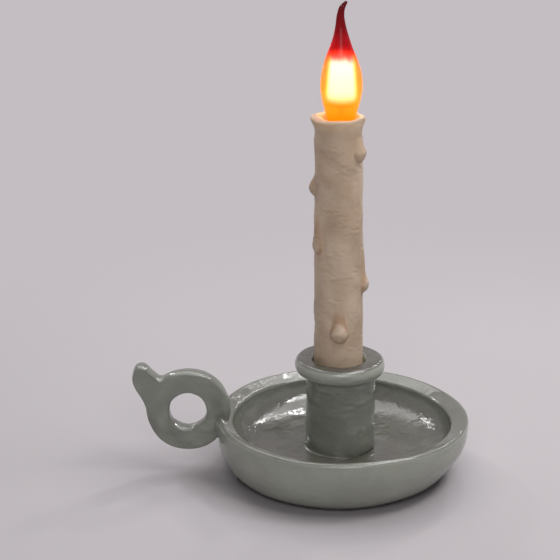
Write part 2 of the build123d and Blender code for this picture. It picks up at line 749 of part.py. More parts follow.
def battery_door():
    """Door in the base plate with a round hinge edge, two pins and a tab for its screw."""
    left = pocket_left + LOOSE_GAP
    right = pocket_right - LOOSE_GAP
    end = pocket_half - LOOSE_GAP
    door_top = PLATE_BOTTOM + DOOR_THICK
    along = Pos(pocket_middle, hinge_y, hinge_z) * Rot(0, 90, 0)
    door = block(left, right, hinge_y, end, PLATE_BOTTOM, door_top)
    door += along * Cylinder(DOOR_THICK / 2, right - left)
    door += along * Cylinder(PIN_RADIUS, right - left + 2 * PIN_LENGTH)
    tab_half = TAB_WIDTH / 2
    door += block(pocket_middle - tab_half, pocket_middle + tab_half, end, tab_end, PLATE_BOTTOM, door_top)
    head = rod(
        DOOR_SCREW_HEAD + GLUE_GAP, PLATE_BOTTOM, PLATE_BOTTOM + DOOR_SCREW_HEAD_HEIGHT, pocket_middle, latch_y
    )
    return door - head - rod(DOOR_SCREW_SHANK + GLUE_GAP, PLATE_BOTTOM, door_top, pocket_middle, latch_y)


def door_screw():
    """Captive screw in the door's tab."""
    head = rod(DOOR_SCREW_HEAD, PLATE_BOTTOM, PLATE_BOTTOM + DOOR_SCREW_HEAD_HEIGHT, pocket_middle, latch_y)
    return head + rod(DOOR_SCREW_SHANK, PLATE_BOTTOM, plate_top + DOOR_SCREW_REACH, pocket_middle, latch_y)


def switch_body():
    """Slide switch on the base plate, hollow round the knob's head."""
    half = SWITCH_LENGTH / 2
    side = SWITCH_WIDTH / 2
    body = block(
        SWITCH_X - half, SWITCH_X + half, SWITCH_Y - side, SWITCH_Y + side, plate_top, plate_top + SWITCH_HEIGHT
    )
    room = (KNOB_HEAD + SWITCH_TRAVEL) / 2 + LOOSE_GAP
    head_side = KNOB_HEAD / 2 + LOOSE_GAP
    room_top = plate_top + KNOB_HEAD_HEIGHT + 2 * LOOSE_GAP
    return body - block(
        SWITCH_X - room, SWITCH_X + room, SWITCH_Y - head_side, SWITCH_Y + head_side, plate_top, room_top
    )


def switch_knob():
    """Knob that slides in the plate's slot, shown switched on at the slot's +X end."""
    x = SWITCH_X + SWITCH_TRAVEL / 2
    stem = KNOB_STEM / 2
    head = KNOB_HEAD / 2
    head_low = plate_top + LOOSE_GAP
    knob = block(x - stem, x + stem, SWITCH_Y - stem, SWITCH_Y + stem, KNOB_TABLE_GAP, head_low)
    return knob + block(
        x - head, x + head, SWITCH_Y - head, SWITCH_Y + head, head_low, head_low + KNOB_HEAD_HEIGHT
    )


def driver_board():
    """Circuit board on the standoffs."""
    board = block(BOARD_LEFT, board_right, BOARD_FRONT, board_back, board_bottom, board_top)
    for x, y in standoff_places():
        board -= rod(BOARD_SCREW_SHANK + GLUE_GAP, board_bottom, board_top, x, y)
    return board


def board_parts():
    """Coil, capacitor and chip on the board."""
    x = (BOARD_LEFT + board_right) / 2
    y = (BOARD_FRONT + board_back) / 2
    coil = rod(COIL_RADIUS, board_top, board_top + COIL_HEIGHT, x, y)
    capacitor_x = x + COIL_RADIUS + 2 * CAPACITOR_RADIUS
    capacitor = rod(CAPACITOR_RADIUS, board_top, board_top + CAPACITOR_HEIGHT, capacitor_x, y)
    chip_y = y - COIL_RADIUS - CHIP_WIDTH
    chip = block(
        x - CHIP_LENGTH / 2,
        x + CHIP_LENGTH / 2,
        chip_y - CHIP_WIDTH / 2,
        chip_y + CHIP_WIDTH / 2,
        board_top,
        board_top + CHIP_HEIGHT,
    )
    return Compound(children=[coil, capacitor, chip])


def board_screws():
    """Screws from the board into the standoffs."""
    screws = []
    for x, y in standoff_places():
        head = rod(BOARD_SCREW_HEAD, board_top, board_top + BOARD_SCREW_HEAD_HEIGHT, x, y)
        screws.append(head + rod(BOARD_SCREW_SHANK, board_bottom - BOARD_SCREW_REACH, board_top, x, y))
    return Compound(children=screws)


def lamp_lead(side):
    """Lead from under the board, along to the pipe, up through it and out to a terminal."""
    y = side * LEAD_SPREAD
    start_x = board_right - LEAD_END_INSET
    terminal_y = side * TERMINAL_CIRCLE
    return swept_lead(
        (start_x, y, board_bottom),
        (start_x, y, lead_run),
        (0, y, lead_run),
        (0, y, lead_turn),
        (0, terminal_y, lead_turn),
        (0, terminal_y, terminal_bottom),
    )


def battery_leads():
    """Two leads from the battery tray's near side to the board."""
    end_x = board_right - LEAD_END_INSET
    leads = []
    for inset in (2, 3):
        y = board_back - inset * LEAD_END_INSET
        leads.append(swept_lead((TRAY_NEAR, y, lead_run), (end_x, y, lead_run), (end_x, y, board_bottom)))
    return Compound(children=leads)


def switch_leads():
    """Two leads from the switch's back to the board."""
    back = SWITCH_Y + SWITCH_WIDTH / 2
    end_y = BOARD_FRONT + LEAD_END_INSET
    leads = []
    for side in (-1, 1):
        x = SWITCH_X + side * SWITCH_LENGTH / 4
        leads.append(swept_lead((x, back, lead_run), (x, end_y, lead_run), (x, end_y, board_bottom)))
    return Compound(children=leads)


PIECES = {
    "dish": dish(),
    "foot_ring": foot_ring(),
    "finger_handle": finger_handle(),
    "handle_dowel": handle_dowel(),
    "candle_cup": candle_cup(),
    "sleeve_seat": sleeve_seat(),
    "candle_sleeve": candle_sleeve(),
    "lamp_pipe": lamp_pipe(),
    "pipe_nuts": pipe_nuts(),
    "pipe_washers": pipe_washers(),
    "holder_base": holder_base(),
    "holder_insert": holder_insert(),
    "holder_sleeve": holder_sleeve(),
    "screw_shell": screw_shell(),
    "contact_tongue": contact_tongue(),
    "holder_terminals": holder_terminals(),
    "sleeve_spacer": sleeve_spacer(),
    "bulb_glass": bulb_glass(),
    "bulb_cap": bulb_cap(),
    "cap_insulator": cap_insulator(),
    "cap_contact": cap_contact(),
    "bulb_stem": bulb_stem(),
    "bulb_filaments": bulb_filaments(),
    "filament_wires": filament_wires(),
    "base_plate": base_plate(),
    "base_screws": base_screws(),
    "battery_tray": battery_tray(),
    "battery_cells": battery_cells(),
    "cell_springs": cell_springs(),
    "cell_contacts": cell_contacts(),
    "battery_door": battery_door(),
    "door_screw": door_screw(),
    "switch_body": switch_body(),
    "switch_knob": switch_knob(),
    "driver_board": driver_board(),
    "board_parts": board_parts(),
    "board_screws": board_screws(),
    "lamp_lead_live": lamp_lead(1),
    "lamp_lead_return": lamp_lead(-1),
    "battery_leads": battery_leads(),
    "switch_leads": switch_leads(),
}

os.makedirs("parts", exist_ok=True)
for node, shape in PIECES.items():
    export_step(shape, f"parts/{node}.step")
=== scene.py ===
"""Looks of a battery candle lamp: a glazed chamberstick, a drip candle and a flame-shaped lamp."""

import json
import logging
import math
from dataclasses import dataclass
from enum import Enum
from typing import Any, Sequence

import bpy
import numpy as np
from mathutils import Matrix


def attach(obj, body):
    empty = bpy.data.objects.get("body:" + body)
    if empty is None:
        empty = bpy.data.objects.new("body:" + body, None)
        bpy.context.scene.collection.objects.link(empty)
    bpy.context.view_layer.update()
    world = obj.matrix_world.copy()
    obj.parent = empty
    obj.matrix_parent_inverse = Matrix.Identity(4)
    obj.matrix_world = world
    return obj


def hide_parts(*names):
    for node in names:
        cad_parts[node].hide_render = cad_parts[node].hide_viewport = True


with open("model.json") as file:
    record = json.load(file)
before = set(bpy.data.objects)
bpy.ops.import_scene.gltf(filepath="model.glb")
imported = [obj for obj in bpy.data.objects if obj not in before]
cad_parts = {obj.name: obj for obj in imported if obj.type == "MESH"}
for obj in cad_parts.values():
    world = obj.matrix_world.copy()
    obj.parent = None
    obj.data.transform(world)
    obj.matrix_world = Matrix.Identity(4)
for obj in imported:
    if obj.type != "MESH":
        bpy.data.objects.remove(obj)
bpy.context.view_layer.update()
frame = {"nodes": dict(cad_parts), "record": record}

MM = 0.001
TINY = 1e-12
FULL_TURN = 2 * math.pi

Array = np.ndarray
Pair = tuple[float, float]
Triple = tuple[float, float, float]
Colour = Triple
Stop = tuple[float, Colour]
log = logging.getLogger("candle_lamp")


# Shader writing


class Wire:
    """A value socket of a node tree. Arithmetic on it adds Math nodes to the tree."""

    def __init__(self, tree: "Tree", socket: bpy.types.NodeSocket) -> None:
        """Wrap a socket.

        Args:
            tree: Tree that the socket belongs to.
            socket: Output socket that carries the value.
        """
        self.tree = tree
        self.socket = socket

    def _math(self, operation: str, first: Any, second: Any) -> "Wire":
        """Add one Math node.

        Args:
            operation: Blender's name of the operation.
            first: First operand, a Wire or a number.
            second: Second operand, a Wire or a number.

        Returns:
            The node's result.
        """
        node = self.tree.add("ShaderNodeMath", {"operation": operation}, {0: first, 1: second})
        return Wire(self.tree, node.outputs[0])

    def __add__(self, other: Any) -> "Wire":
        """Sum."""
        return self._math("ADD", self, other)

    __radd__ = __add__

    def __sub__(self, other: Any) -> "Wire":
        """Difference."""
        return self._math("SUBTRACT", self, other)

    def __rsub__(self, other: Any) -> "Wire":
        """Difference from a number."""
        return self._math("SUBTRACT", other, self)

    def __mul__(self, other: Any) -> "Wire":
        """Product."""
        return self._math("MULTIPLY", self, other)

    __rmul__ = __mul__

    def __pow__(self, other: Any) -> "Wire":
        """Power."""
        return self._math("POWER", self, other)

    def at_least(self, other: Any) -> "Wire":
        """The greater of two values."""
        return self._math("MAXIMUM", self, other)


class Tree:
    """A node tree being written, for a material or for the world."""

    # Sockets of a Mix node that blends colours: share, first colour, second colour and result
    MIX_SOCKETS = (0, 6, 7, 2)

    def __init__(self, owner: Any) -> None:
        """Start an empty tree.

        Args:
            owner: Material or world that gets the tree.
        """
        owner.use_nodes = True
        self.nodes = owner.node_tree.nodes
        self.links = owner.node_tree.links
        self.nodes.clear()

    def add(self, kind: str, settings: dict | None = None, inputs: dict | None = None) -> bpy.types.Node:
        """Add a node.

        Args:
            kind: Node type.
            settings: Node properties, set first; "stops" gives a colour ramp's stops.
            inputs: Values or Wires by socket name or number.

        Returns:
            The node.
        """
        node = self.nodes.new(kind)
        for name, value in (settings or {}).items():
            if name == "stops":
                self._set_stops(node.color_ramp, value)
            else:
                setattr(node, name, value)
        for key, value in (inputs or {}).items():
            if isinstance(value, Wire):
                self.links.new(value.socket, node.inputs[key])
            else:
                node.inputs[key].default_value = value
        return node

    @staticmethod
    def _set_stops(ramp: bpy.types.ColorRamp, stops: Sequence[Stop]) -> None:
        """Give a colour ramp its stops.

        Args:
            ramp: Ramp to fill.
            stops: Position and colour of each stop, in order.
        """
        while len(ramp.elements) < len(stops):
            ramp.elements.new(1.0)
        for element, (position, colour) in zip(ramp.elements, stops):
            element.position = position
            element.color = (*colour, 1.0)

    def out(self, node: bpy.types.Node, key: Any = 0) -> Wire:
        """Wrap one output of a node."""
        return Wire(self, node.outputs[key])

    def place(self) -> Wire:
        """Object coordinates, in metres."""
        return self.out(self.add("ShaderNodeTexCoord"), "Object")

    def axes(self) -> tuple[Wire, Wire, Wire]:
        """The three object coordinates apart."""
        node = self.add("ShaderNodeSeparateXYZ", {}, {0: self.place()})
        return self.out(node, 0), self.out(node, 1), self.out(node, 2)

    def attribute(self, name: str) -> Wire:
        """A value kept on the mesh's points."""
        return self.out(self.add("ShaderNodeAttribute", {"attribute_name": name}), "Fac")

    def noise(
        self, scale: float, detail: float, stretch: Triple = (1, 1, 1), warp: float = 0.0,
        turn: Triple = (0, 0, 0),
    ) -> Wire:
        """Cloudy noise on object coordinates.

        Args:
            scale: Waves per metre.
            detail: Octaves.
            stretch: Factor on the scale along X, Y and Z.
            warp: Distortion.
            turn: Turn of the noise about X, Y and Z in radians.

        Returns:
            Value from 0 to 1.
        """
        inputs = {"Vector": self.place(), "Rotation": turn, "Scale": stretch}
        spot = self.add("ShaderNodeMapping", {}, inputs)
        inputs = {"Vector": self.out(spot), "Scale": scale, "Detail": detail, "Distortion": warp}
        return self.out(self.add("ShaderNodeTexNoise", {}, inputs), 0)

    def step(self, value: Wire, low: float, high: float) -> Wire:
        """Soft step from 0 at low to 1 at high."""
        inputs = {"Value": value, "From Min": low, "From Max": high}
        return self.out(self.add("ShaderNodeMapRange", {"interpolation_type": "SMOOTHSTEP"}, inputs), 0)

    def ramp(self, value: Wire, stops: Sequence[Stop]) -> Wire:
        """Colour that follows a value."""
        return self.out(self.add("ShaderNodeValToRGB", {"stops": stops}, {0: value}), 0)

    def mix(self, share: Any, first: Any, second: Any) -> Wire:
        """Blend two colours.

        Args:
            share: How much of the second colour, a Wire or a number.
            first: Wire or colour.
            second: Wire or colour.

        Returns:
            The blended colour.
        """
        pair = [colour if isinstance(colour, Wire) else (*colour, 1.0) for colour in (first, second)]
        *entries, result = self.MIX_SOCKETS
        inputs = dict(zip(entries, (share, *pair)))
        return self.out(self.add("ShaderNodeMix", {"data_type": "RGBA"}, inputs), result)

    def bump(self, height: Wire, depth: float) -> Wire:
        """Normal of a small relief.

        Args:
            height: Relief from 0 to 1.
            depth: Height of the relief in millimetres.

        Returns:
            The bent normal.
        """
        inputs = {"Distance": depth * MM, "Height": height}
        return self.out(self.add("ShaderNodeBump", {}, inputs), "Normal")

    def end(self, shader: Wire, kind: str = "ShaderNodeOutputMaterial") -> None:
        """Lead a shader to the tree's output."""
        self.add(kind, {}, {"Surface": shader})


# Finishes


@dataclass(frozen=True)
class Finish:
    """A look that pieces share."""

    name: str

    def sockets(self, tree: Tree) -> dict[str, Any]:
        """Values and Wires for the Principled shader's sockets.

        Args:
            tree: Tree of the finish's material.

        Returns:
            Value or Wire by socket name.
        """
        raise NotImplementedError

    def material(self) -> bpy.types.Material:
        """Give the finish's material, which is made at its first use.

        Returns:
            The material.
        """
        name = f"{self.name}_finish"
        made = bpy.data.materials.get(name)
        if made is None:
            made = bpy.data.materials.new(name)
            tree = Tree(made)
            shader = tree.add("ShaderNodeBsdfPrincipled", {}, self.sockets(tree))
            tree.end(tree.out(shader))
        return made


@dataclass(frozen=True)
class Glaze(Finish):
    """Grey-green stoneware glaze, pale where it runs thin over edges and dark where it pools; its depth mark
    also carries painted shade on level parts and a painted highlight on the cup's collar.
    """

    thin: Colour = (0.400, 0.420, 0.356)
    body: Colour = (0.238, 0.249, 0.212)
    pooled: Colour = (0.084, 0.081, 0.066)
    body_depth: float = 0.42
    cloud_share: float = 0.26
    brush_share: float = 0.10
    fleck_share: float = 0.22
    relief: float = 0.30

    def sockets(self, tree: Tree) -> dict[str, Any]:
        """See Finish.sockets."""
        # Glaze depth: real thin and pooled glaze, plus painted shade on level parts and in the bowl and a
        # painted highlight on the collar.
        depth = tree.attribute("glaze_depth_and_painted_light")
        cloud = tree.noise(38, 4, warp=0.6)
        brush = tree.noise(44, 4, (1, 1, 2.2), warp=0.9, turn=(0.3, 0.5, 0.0))
        hair = tree.noise(130, 3, (1, 1, 5), warp=0.5, turn=(0.7, 0.9, 0.0))
        peel = tree.noise(520, 3, warp=0.3) * tree.step(tree.noise(70, 2), 0.36, 0.56)
        fleck = tree.noise(900, 2)
        amount = depth + (cloud - 0.5) * self.cloud_share + (brush - 0.5) * self.brush_share
        stops = ((0.0, self.thin), (self.body_depth, self.body), (1.0, self.pooled))
        flecks = tree.step(fleck, 0.66, 0.74) * self.fleck_share
        relief = brush * 0.14 + hair * tree.step(cloud, 0.42, 0.62) * 0.12 + peel
        return {
            "Base Color": tree.mix(flecks, tree.ramp(amount, stops), self.pooled),
            "Roughness": 0.05 + cloud * 0.08,
            "IOR": 1.66,
            "Normal": tree.bump(relief, self.relief),
        }


@dataclass(frozen=True)
class Wax(Finish):
    """Painted wax resin: tan, streaked by hand, stained along its runs, with painted lamp light near its top
    and painted shade down its bore.
    """

    pale: Colour = (0.625, 0.490, 0.365)
    body: Colour = (0.468, 0.345, 0.242)
    stain: Colour = (0.37, 0.195, 0.095)
    # Colour of the painted lamp light on the wax near its top.
    painted_glow: Colour = (0.80, 0.42, 0.10)
    # Colour of the painted shade down the candle's bore.
    bore_shade_tint: Colour = (0.20, 0.11, 0.06)
    wrinkle_share: float = 0.22
    flank_share: float = 0.62
    # Share of the painted shade down the bore.
    bore_shade_share: float = 0.7
    relief: float = 0.30

    def sockets(self, tree: Tree) -> dict[str, Any]:
        """See Finish.sockets."""
        run = tree.attribute("wax_run")
        hollow = tree.attribute("painted_bore_shade")
        cloud = tree.noise(34, 4, warp=0.5)
        wrinkle = tree.noise(60, 4, (1, 1, 2.6), warp=1.0)
        grain = tree.noise(620, 3, (1, 1, 1.6))
        colour = tree.mix(tree.step(cloud, 0.30, 0.70), self.body, self.pale)
        colour = tree.mix(tree.step(wrinkle, 0.52, 0.72) * self.wrinkle_share, colour, self.stain)
        flank = run * (1 - run) * 4.0
        colour = tree.mix(flank * tree.step(cloud, 0.30, 0.60) * self.flank_share, colour, self.stain)
        # Painted shade: the colour darkens deep down the candle's bore.
        colour = tree.mix(hollow * self.bore_shade_share, colour, self.bore_shade_tint)
        # Painted lamp light: the wax glows warm near its top, most inside the mouth.
        near = tree.attribute("painted_lamp_light")
        relief = wrinkle * 0.35 + grain * 0.3
        return {
            "Base Color": colour,
            "Roughness": 0.44 + grain * 0.16,
            "Subsurface Weight": 0.10,
            "Subsurface Radius": (0.9, 0.45, 0.25),
            "Subsurface Scale": 0.003,
            "Emission Color": tree.mix(near, (0.0, 0.0, 0.0), self.painted_glow),
            "Emission Strength": 0.6,
            "Normal": tree.bump(relief, self.relief),
        }


@dataclass(frozen=True)
class FlameGlass(Finish):
    """Frosted lamp glass, amber below and red along its tail, lit from inside."""

    low: float = 0.294
    length: float = 0.100
    streak_share: float = 0.10
    tints: tuple[Stop, ...] = (
        (0.00, (1.0, 0.46, 0.01)),
        (0.22, (1.0, 0.50, 0.12)),
        (0.54, (1.0, 0.54, 0.20)),
        (0.60, (0.80, 0.13, 0.05)),
        (0.66, (0.46, 0.006, 0.014)),
        (0.78, (0.24, 0.001, 0.004)),
        (1.00, (0.10, 0.001, 0.002)),
    )
    lights: tuple[Stop, ...] = (
        (0.00, (0.36, 0.11, 0.000)),
        (0.22, (0.48, 0.14, 0.001)),
        (0.48, (0.40, 0.07, 0.001)),
        (0.60, (0.22, 0.004, 0.002)),
        (0.68, (0.13, 0.000, 0.003)),
        (0.80, (0.05, 0.000, 0.001)),
        (1.00, (0.02, 0.0, 0.000)),
    )

    def sockets(self, tree: Tree) -> dict[str, Any]:
        """See Finish.sockets."""
        streak = tree.noise(130, 2, (1, 1, 0.12))
        height = (tree.axes()[2] - self.low) * (1 / self.length) + (streak - 0.5) * self.streak_share
        return {
            "Base Color": tree.ramp(height, self.tints),
            "Roughness": 0.48,
            "IOR": 1.14,
            "Transmission Weight": 0.94,
            "Coat Weight": 0.20,
            "Coat Roughness": 0.04,
            "Emission Color": tree.ramp(height, self.lights),
            "Emission Strength": 0.8,
        }


@dataclass(frozen=True)
class Glow(Finish):
    """Light inside the lamp, softer towards its two ends and see-through where its cover is below 1."""

    bright: Colour = (2.2, 2.7, 11.0)
    cover: float = 1.0
    low: float = 0.3140
    high: float = 0.3555
    soft: float = 0.010
    deep_tint: Colour = (0.95, 0.62, 0.10)
    pale_tint: Colour = (0.98, 0.70, 0.16)

    def sockets(self, tree: Tree) -> dict[str, Any]:
        """See Finish.sockets."""
        height = tree.axes()[2]
        grain = tree.noise(140, 2)
        ends = tree.step(height, self.low, self.low + self.soft)
        ends = ends * (1.0 - tree.step(height, self.high - self.soft, self.high))
        even = ends * (0.94 + grain * 0.12)
        return {
            "Base Color": tree.mix(grain, self.deep_tint, self.pale_tint),
            "Roughness": 0.5,
            "Alpha": self.cover,
            "Emission Color": tree.mix(even, (0.0, 0.0, 0.0), self.bright),
            "Emission Strength": 1.0,
        }


@dataclass(frozen=True)
class Metal(Finish):
    """Turned or drawn metal with fine lines and dull patches."""

    bright: Colour = (0.62, 0.62, 0.61)
    dull: Colour = (0.42, 0.42, 0.41)
    rough: float = 0.26
    lines: Triple = (1, 1, 14)

    def sockets(self, tree: Tree) -> dict[str, Any]:
        """See Finish.sockets."""
        cloud = tree.noise(160, 4)
        fine = tree.noise(420, 2, self.lines)
        return {
            "Base Color": tree.mix(tree.step(cloud, 0.35, 0.75), self.bright, self.dull),
            "Metallic": 1.0,
            "Roughness": self.rough + cloud * 0.14 + fine * 0.08,
            "Normal": tree.bump(fine, 0.03),
        }


@dataclass(frozen=True)
class Moulded(Finish):
    """Moulded plastic, rubber or fired clay with a fine grain and rubbed patches."""

    body: Colour = (0.05, 0.05, 0.052)
    rubbed: Colour = (0.085, 0.085, 0.088)
    rough: float = 0.45
    grain_scale: float = 1500.0
    grain_depth: float = 0.04

    def sockets(self, tree: Tree) -> dict[str, Any]:
        """See Finish.sockets."""
        cloud = tree.noise(90, 4)
        grain = tree.noise(self.grain_scale, 2)
        return {
            "Base Color": tree.mix(tree.step(cloud, 0.45, 0.8), self.body, self.rubbed),
            "Roughness": self.rough + (cloud - 0.5) * 0.2 + grain * 0.08,
            "Normal": tree.bump(grain, self.grain_depth),
        }


@dataclass(frozen=True)
class ClearGlass(Finish):
    """Clear pressed glass of the lamp's inner post."""

    warm: Colour = (0.95, 0.88, 0.72)
    clear: Colour = (0.98, 0.93, 0.82)

    def sockets(self, tree: Tree) -> dict[str, Any]:
        """See Finish.sockets."""
        cloud = tree.noise(240, 2)
        return {
            "Base Color": tree.mix(cloud, self.warm, self.clear),
            "Roughness": 0.10 + cloud * 0.1,
            "IOR": 1.45,
            "Transmission Weight": 0.6,
        }


HALO = Glow("halo", bright=(1.6, 1.1, 0.06), cover=0.5, low=0.3130, high=0.3570)

# Finish of each of the record's material slots
SLOT_FINISHES: dict[str, Finish] = {
    "glaze": Glaze("glaze"),
    "wax": Wax("wax"),
    "flame_glass": FlameGlass("flame_glass"),
    "steel": Metal("steel"),
    "rubber": Moulded("rubber", (0.028, 0.028, 0.029), (0.055, 0.054, 0.052), 0.62, 900.0, 0.08),
    "base_plastic": Moulded("base_plastic"),
    "holder_plastic": Moulded("holder_plastic", (0.72, 0.70, 0.64), (0.60, 0.56, 0.48), 0.40),
    "brass": Metal("brass", (0.80, 0.58, 0.25), (0.52, 0.35, 0.14), 0.24),
    "cap_metal": Metal("cap_metal", (0.78, 0.78, 0.79), (0.58, 0.57, 0.55), 0.22),
    "porcelain": Moulded("porcelain", (0.82, 0.80, 0.75), (0.74, 0.71, 0.64), 0.24, 500.0, 0.02),
    "black_glass": Moulded("black_glass", (0.015, 0.015, 0.02), (0.03, 0.03, 0.035), 0.10, 400.0, 0.01),
    "clear_glass": ClearGlass("clear_glass"),
    "phosphor": Glow("phosphor"),
    "board_green": Moulded("board_green", (0.02, 0.14, 0.06), (0.03, 0.20, 0.09), 0.30, 1100.0, 0.02),
    "chip_black": Moulded("chip_black", (0.02, 0.02, 0.02), (0.04, 0.04, 0.04), 0.50),
    "cell_wrap": Moulded("cell_wrap", (0.10, 0.11, 0.13), (0.16, 0.17, 0.19), 0.22, 600.0, 0.01),
    "lead_red": Moulded("lead_red", (0.42, 0.025, 0.018), (0.50, 0.05, 0.04), 0.38),
    "lead_black": Moulded("lead_black", (0.018, 0.018, 0.018), (0.04, 0.04, 0.04), 0.38),
}


# Surfaces


class Closing(Enum):
    """How the rows of a grid surface end."""

    LOOP = "the last row joins the first"
    POLES = "the first and the last row are each one point"


@dataclass(frozen=True)
class Ripple:
    """Smooth uneven field over a turn angle and a length.

    Height = sum of cos(n * angle + s * 2 pi * length / span + phase) over drawn waves, where s is 1 or -1,
    scaled to a spread of 1.

    Attributes:
        seed: Seed of the draw.
        waves: Number of waves.
        turns: Least and greatest n.
        spans: Shortest and longest span in millimetres.
    """

    seed: int
    waves: int
    turns: tuple[int, int]
    spans: Pair

    def at(self, angle: Array, length: Array) -> Array:
        """Height of the field.

        Args:
            angle: Angles round the axis.
            length: Lengths along the surface in millimetres.

        Returns:
            Heights with a spread of about 1.
        """
        draw = np.random.default_rng(self.seed)
        counts = draw.integers(self.turns[0], self.turns[1] + 1, self.waves)
        signs = draw.choice((-1, 1), self.waves)
        spans = draw.uniform(*self.spans, self.waves)
        phases = draw.uniform(0, FULL_TURN, self.waves)
        total = np.zeros(np.broadcast(angle, length).shape)
        for count, sign, span, phase in zip(counts, signs, spans, phases):
            total += np.cos(count * angle + sign * FULL_TURN * length / span + phase)
        return total / math.sqrt(self.waves / 2)


def soft_step(value: Array, low: float, high: float) -> Array:
    """Soft step: 3 t^2 - 2 t^3, where t runs from 0 at low to 1 at high.

    Args:
        value: Values to step.
        low: Where the step starts.
        high: Where it ends.

    Returns:
        Values from 0 to 1.
    """
    t = np.clip((value - low) / (high - low), 0.0, 1.0)
    return t * t * (3 - 2 * t)


def bell(value: Array, width: float) -> Array:
    """Bell curve: exp(-(value / width)^2)."""
    return np.exp(-((value / width) ** 2))


def curve_through(at: Array, knots: Sequence[float], values: Sequence[float]) -> Array:
    """Smooth curve through knots: cubic Hermite pieces with slopes taken across each knot.

    Args:
        at: Places where the curve is read.
        knots: Rising knot places.
        values: Curve values at the knots.

    Returns:
        Curve values.
    """
    x = np.asarray(knots, float)
    y = np.asarray(values, float)
    slope = np.gradient(y, x)
    index = np.clip(np.searchsorted(x, at) - 1, 0, len(x) - 2)
    width = x[index + 1] - x[index]
    t = np.clip((at - x[index]) / width, 0.0, 1.0)
    near = (1 + 2 * t) * (1 - t) ** 2 * y[index] + t * (1 - t) ** 2 * width * slope[index]
    far = t * t * (3 - 2 * t) * y[index + 1] + t * t * (t - 1) * width * slope[index + 1]
    return near + far


def line(start: Sequence[float], end: Sequence[float], pitch: float) -> Array:
    """Straight run of an outline, without its end point.

    Args:
        start: First point.
        end: Last point.
        pitch: Spacing of the points.

    Returns:
        Points, one a row.
    """
    a = np.asarray(start, float)
    b = np.asarray(end, float)
    count = max(1, math.ceil(float(np.linalg.norm(b - a)) / pitch))
    return a + (b - a) * (np.arange(count) / count)[:, None]


def corner_path(corners: Sequence[Sequence[float]], pitch: float) -> Array:
    """Straight runs from corner to corner, without the last corner."""
    return np.vstack([line(start, end, pitch) for start, end in zip(corners, corners[1:])])


def arc(
    centre: Sequence[float], radii: Sequence[float], start: float, sweep: float, pitch: float,
) -> Array:
    """Arc of an ellipse, without its end point: centre + radii * (cos, sin) of the angle.

    Args:
        centre: Middle of the ellipse.
        radii: Its two radii.
        start: First angle in degrees.
        sweep: Turn of the arc in degrees.
        pitch: Spacing of the points.

    Returns:
        Points, one a row.
    """
    count = max(2, math.ceil(math.radians(abs(sweep)) * max(radii) / pitch))
    angle = np.radians(start + sweep * np.arange(count) / count)
    spread = np.stack((np.cos(angle), np.sin(angle)), 1) * np.asarray(radii, float)
    return np.asarray(centre, float) + spread


def outline_normals(outline: Array) -> Array:
    """Outward normals of a closed outline: the chord between each point's neighbours, turned by 90 degrees.

    Args:
        outline: Points of the loop, anticlockwise, the last not repeating the first.

    Returns:
        Unit normals, one a row.
    """
    chord = np.roll(outline, -1, 0) - np.roll(outline, 1, 0)
    normal = np.stack((chord[:, 1], -chord[:, 0]), 1)
    return normal / np.linalg.norm(normal, axis=1, keepdims=True)


def outline_lengths(outline: Array) -> Array:
    """Length run along an outline up to each point."""
    steps = np.linalg.norm(np.diff(outline, axis=0), axis=1)
    return np.concatenate(([0.0], np.cumsum(steps)))


def even_loop(outline: Array, count: int) -> Array:
    """Resample a closed outline at even steps.

    Args:
        outline: Points of the loop, the last not repeating the first.
        count: Number of points wanted.

    Returns:
        Evenly spaced points.
    """
    closed = np.vstack((outline, outline[:1]))
    run = outline_lengths(closed)
    at = np.linspace(0, run[-1], count, endpoint=False)
    return np.stack([np.interp(at, run, closed[:, axis]) for axis in range(closed.shape[1])], 1)


def rounded(loop: Array, passes: int) -> Array:
    """Soften a closed loop: each pass takes a quarter of both neighbours and half of the point.

    Args:
        loop: Points of the loop.
        passes: Number of passes.

    Returns:
        Softened points.
    """
    for _ in range(passes):
        loop = 0.5 * loop + 0.25 * (np.roll(loop, 1, 0) + np.roll(loop, -1, 0))
    return loop


def loop_normals(points: Array) -> Array:
    """Normals of a grid whose rows and columns both go round: the cross product of its steps each way.

    Args:
        points: Rows by columns by 3.

    Returns:
        Unit normals, rows by columns by 3.
    """
    across = np.roll(points, -1, 1) - np.roll(points, 1, 1)
    along = np.roll(points, -1, 0) - np.roll(points, 1, 0)
    normal = np.cross(across, along)
    return normal / np.maximum(np.linalg.norm(normal, axis=2, keepdims=True), TINY)


def grid_faces(rows: int, columns: int, closing: Closing) -> list[list[int]]:
    """Faces of a grid whose columns go round.

    Args:
        rows: Number of rows.
        columns: Number of columns.
        closing: How the rows end; at a pole the whole row is one point.

    Returns:
        Corner numbers of each face.
    """
    column = np.arange(columns)
    after = (column + 1) % columns
    if closing is Closing.LOOP:
        row = np.arange(rows)[:, None] * columns
        above = np.roll(row, -1, 0)
    else:
        row = np.arange(rows - 3)[:, None] * columns + 1
        above = row + columns
    corners = (row + column, row + after, above + after, above + column)
    quads = np.stack(corners, -1).reshape(-1, 4).tolist()
    if closing is Closing.LOOP:
        return quads
    top = 1 + (rows - 2) * columns
    last = top - columns
    low = np.stack((np.zeros_like(column), 1 + after, 1 + column), 1).tolist()
    high = np.stack((np.full_like(column, top), last + column, last + after), 1).tolist()
    return quads + low + high


def in_point_order(values: Array, closing: Closing) -> Array:
    """Put a grid's values in its mesh's point order, with one value for each pole.

    Args:
        values: Rows by columns, or rows by columns by 3.
        closing: How the rows end.

    Returns:
        Values, one point a row.
    """
    rows, columns = values.shape[:2]
    flat = values.reshape(rows * columns, -1)
    if closing is Closing.LOOP:
        return flat
    return np.vstack((flat[:1], flat[columns:-columns], flat[-1:]))


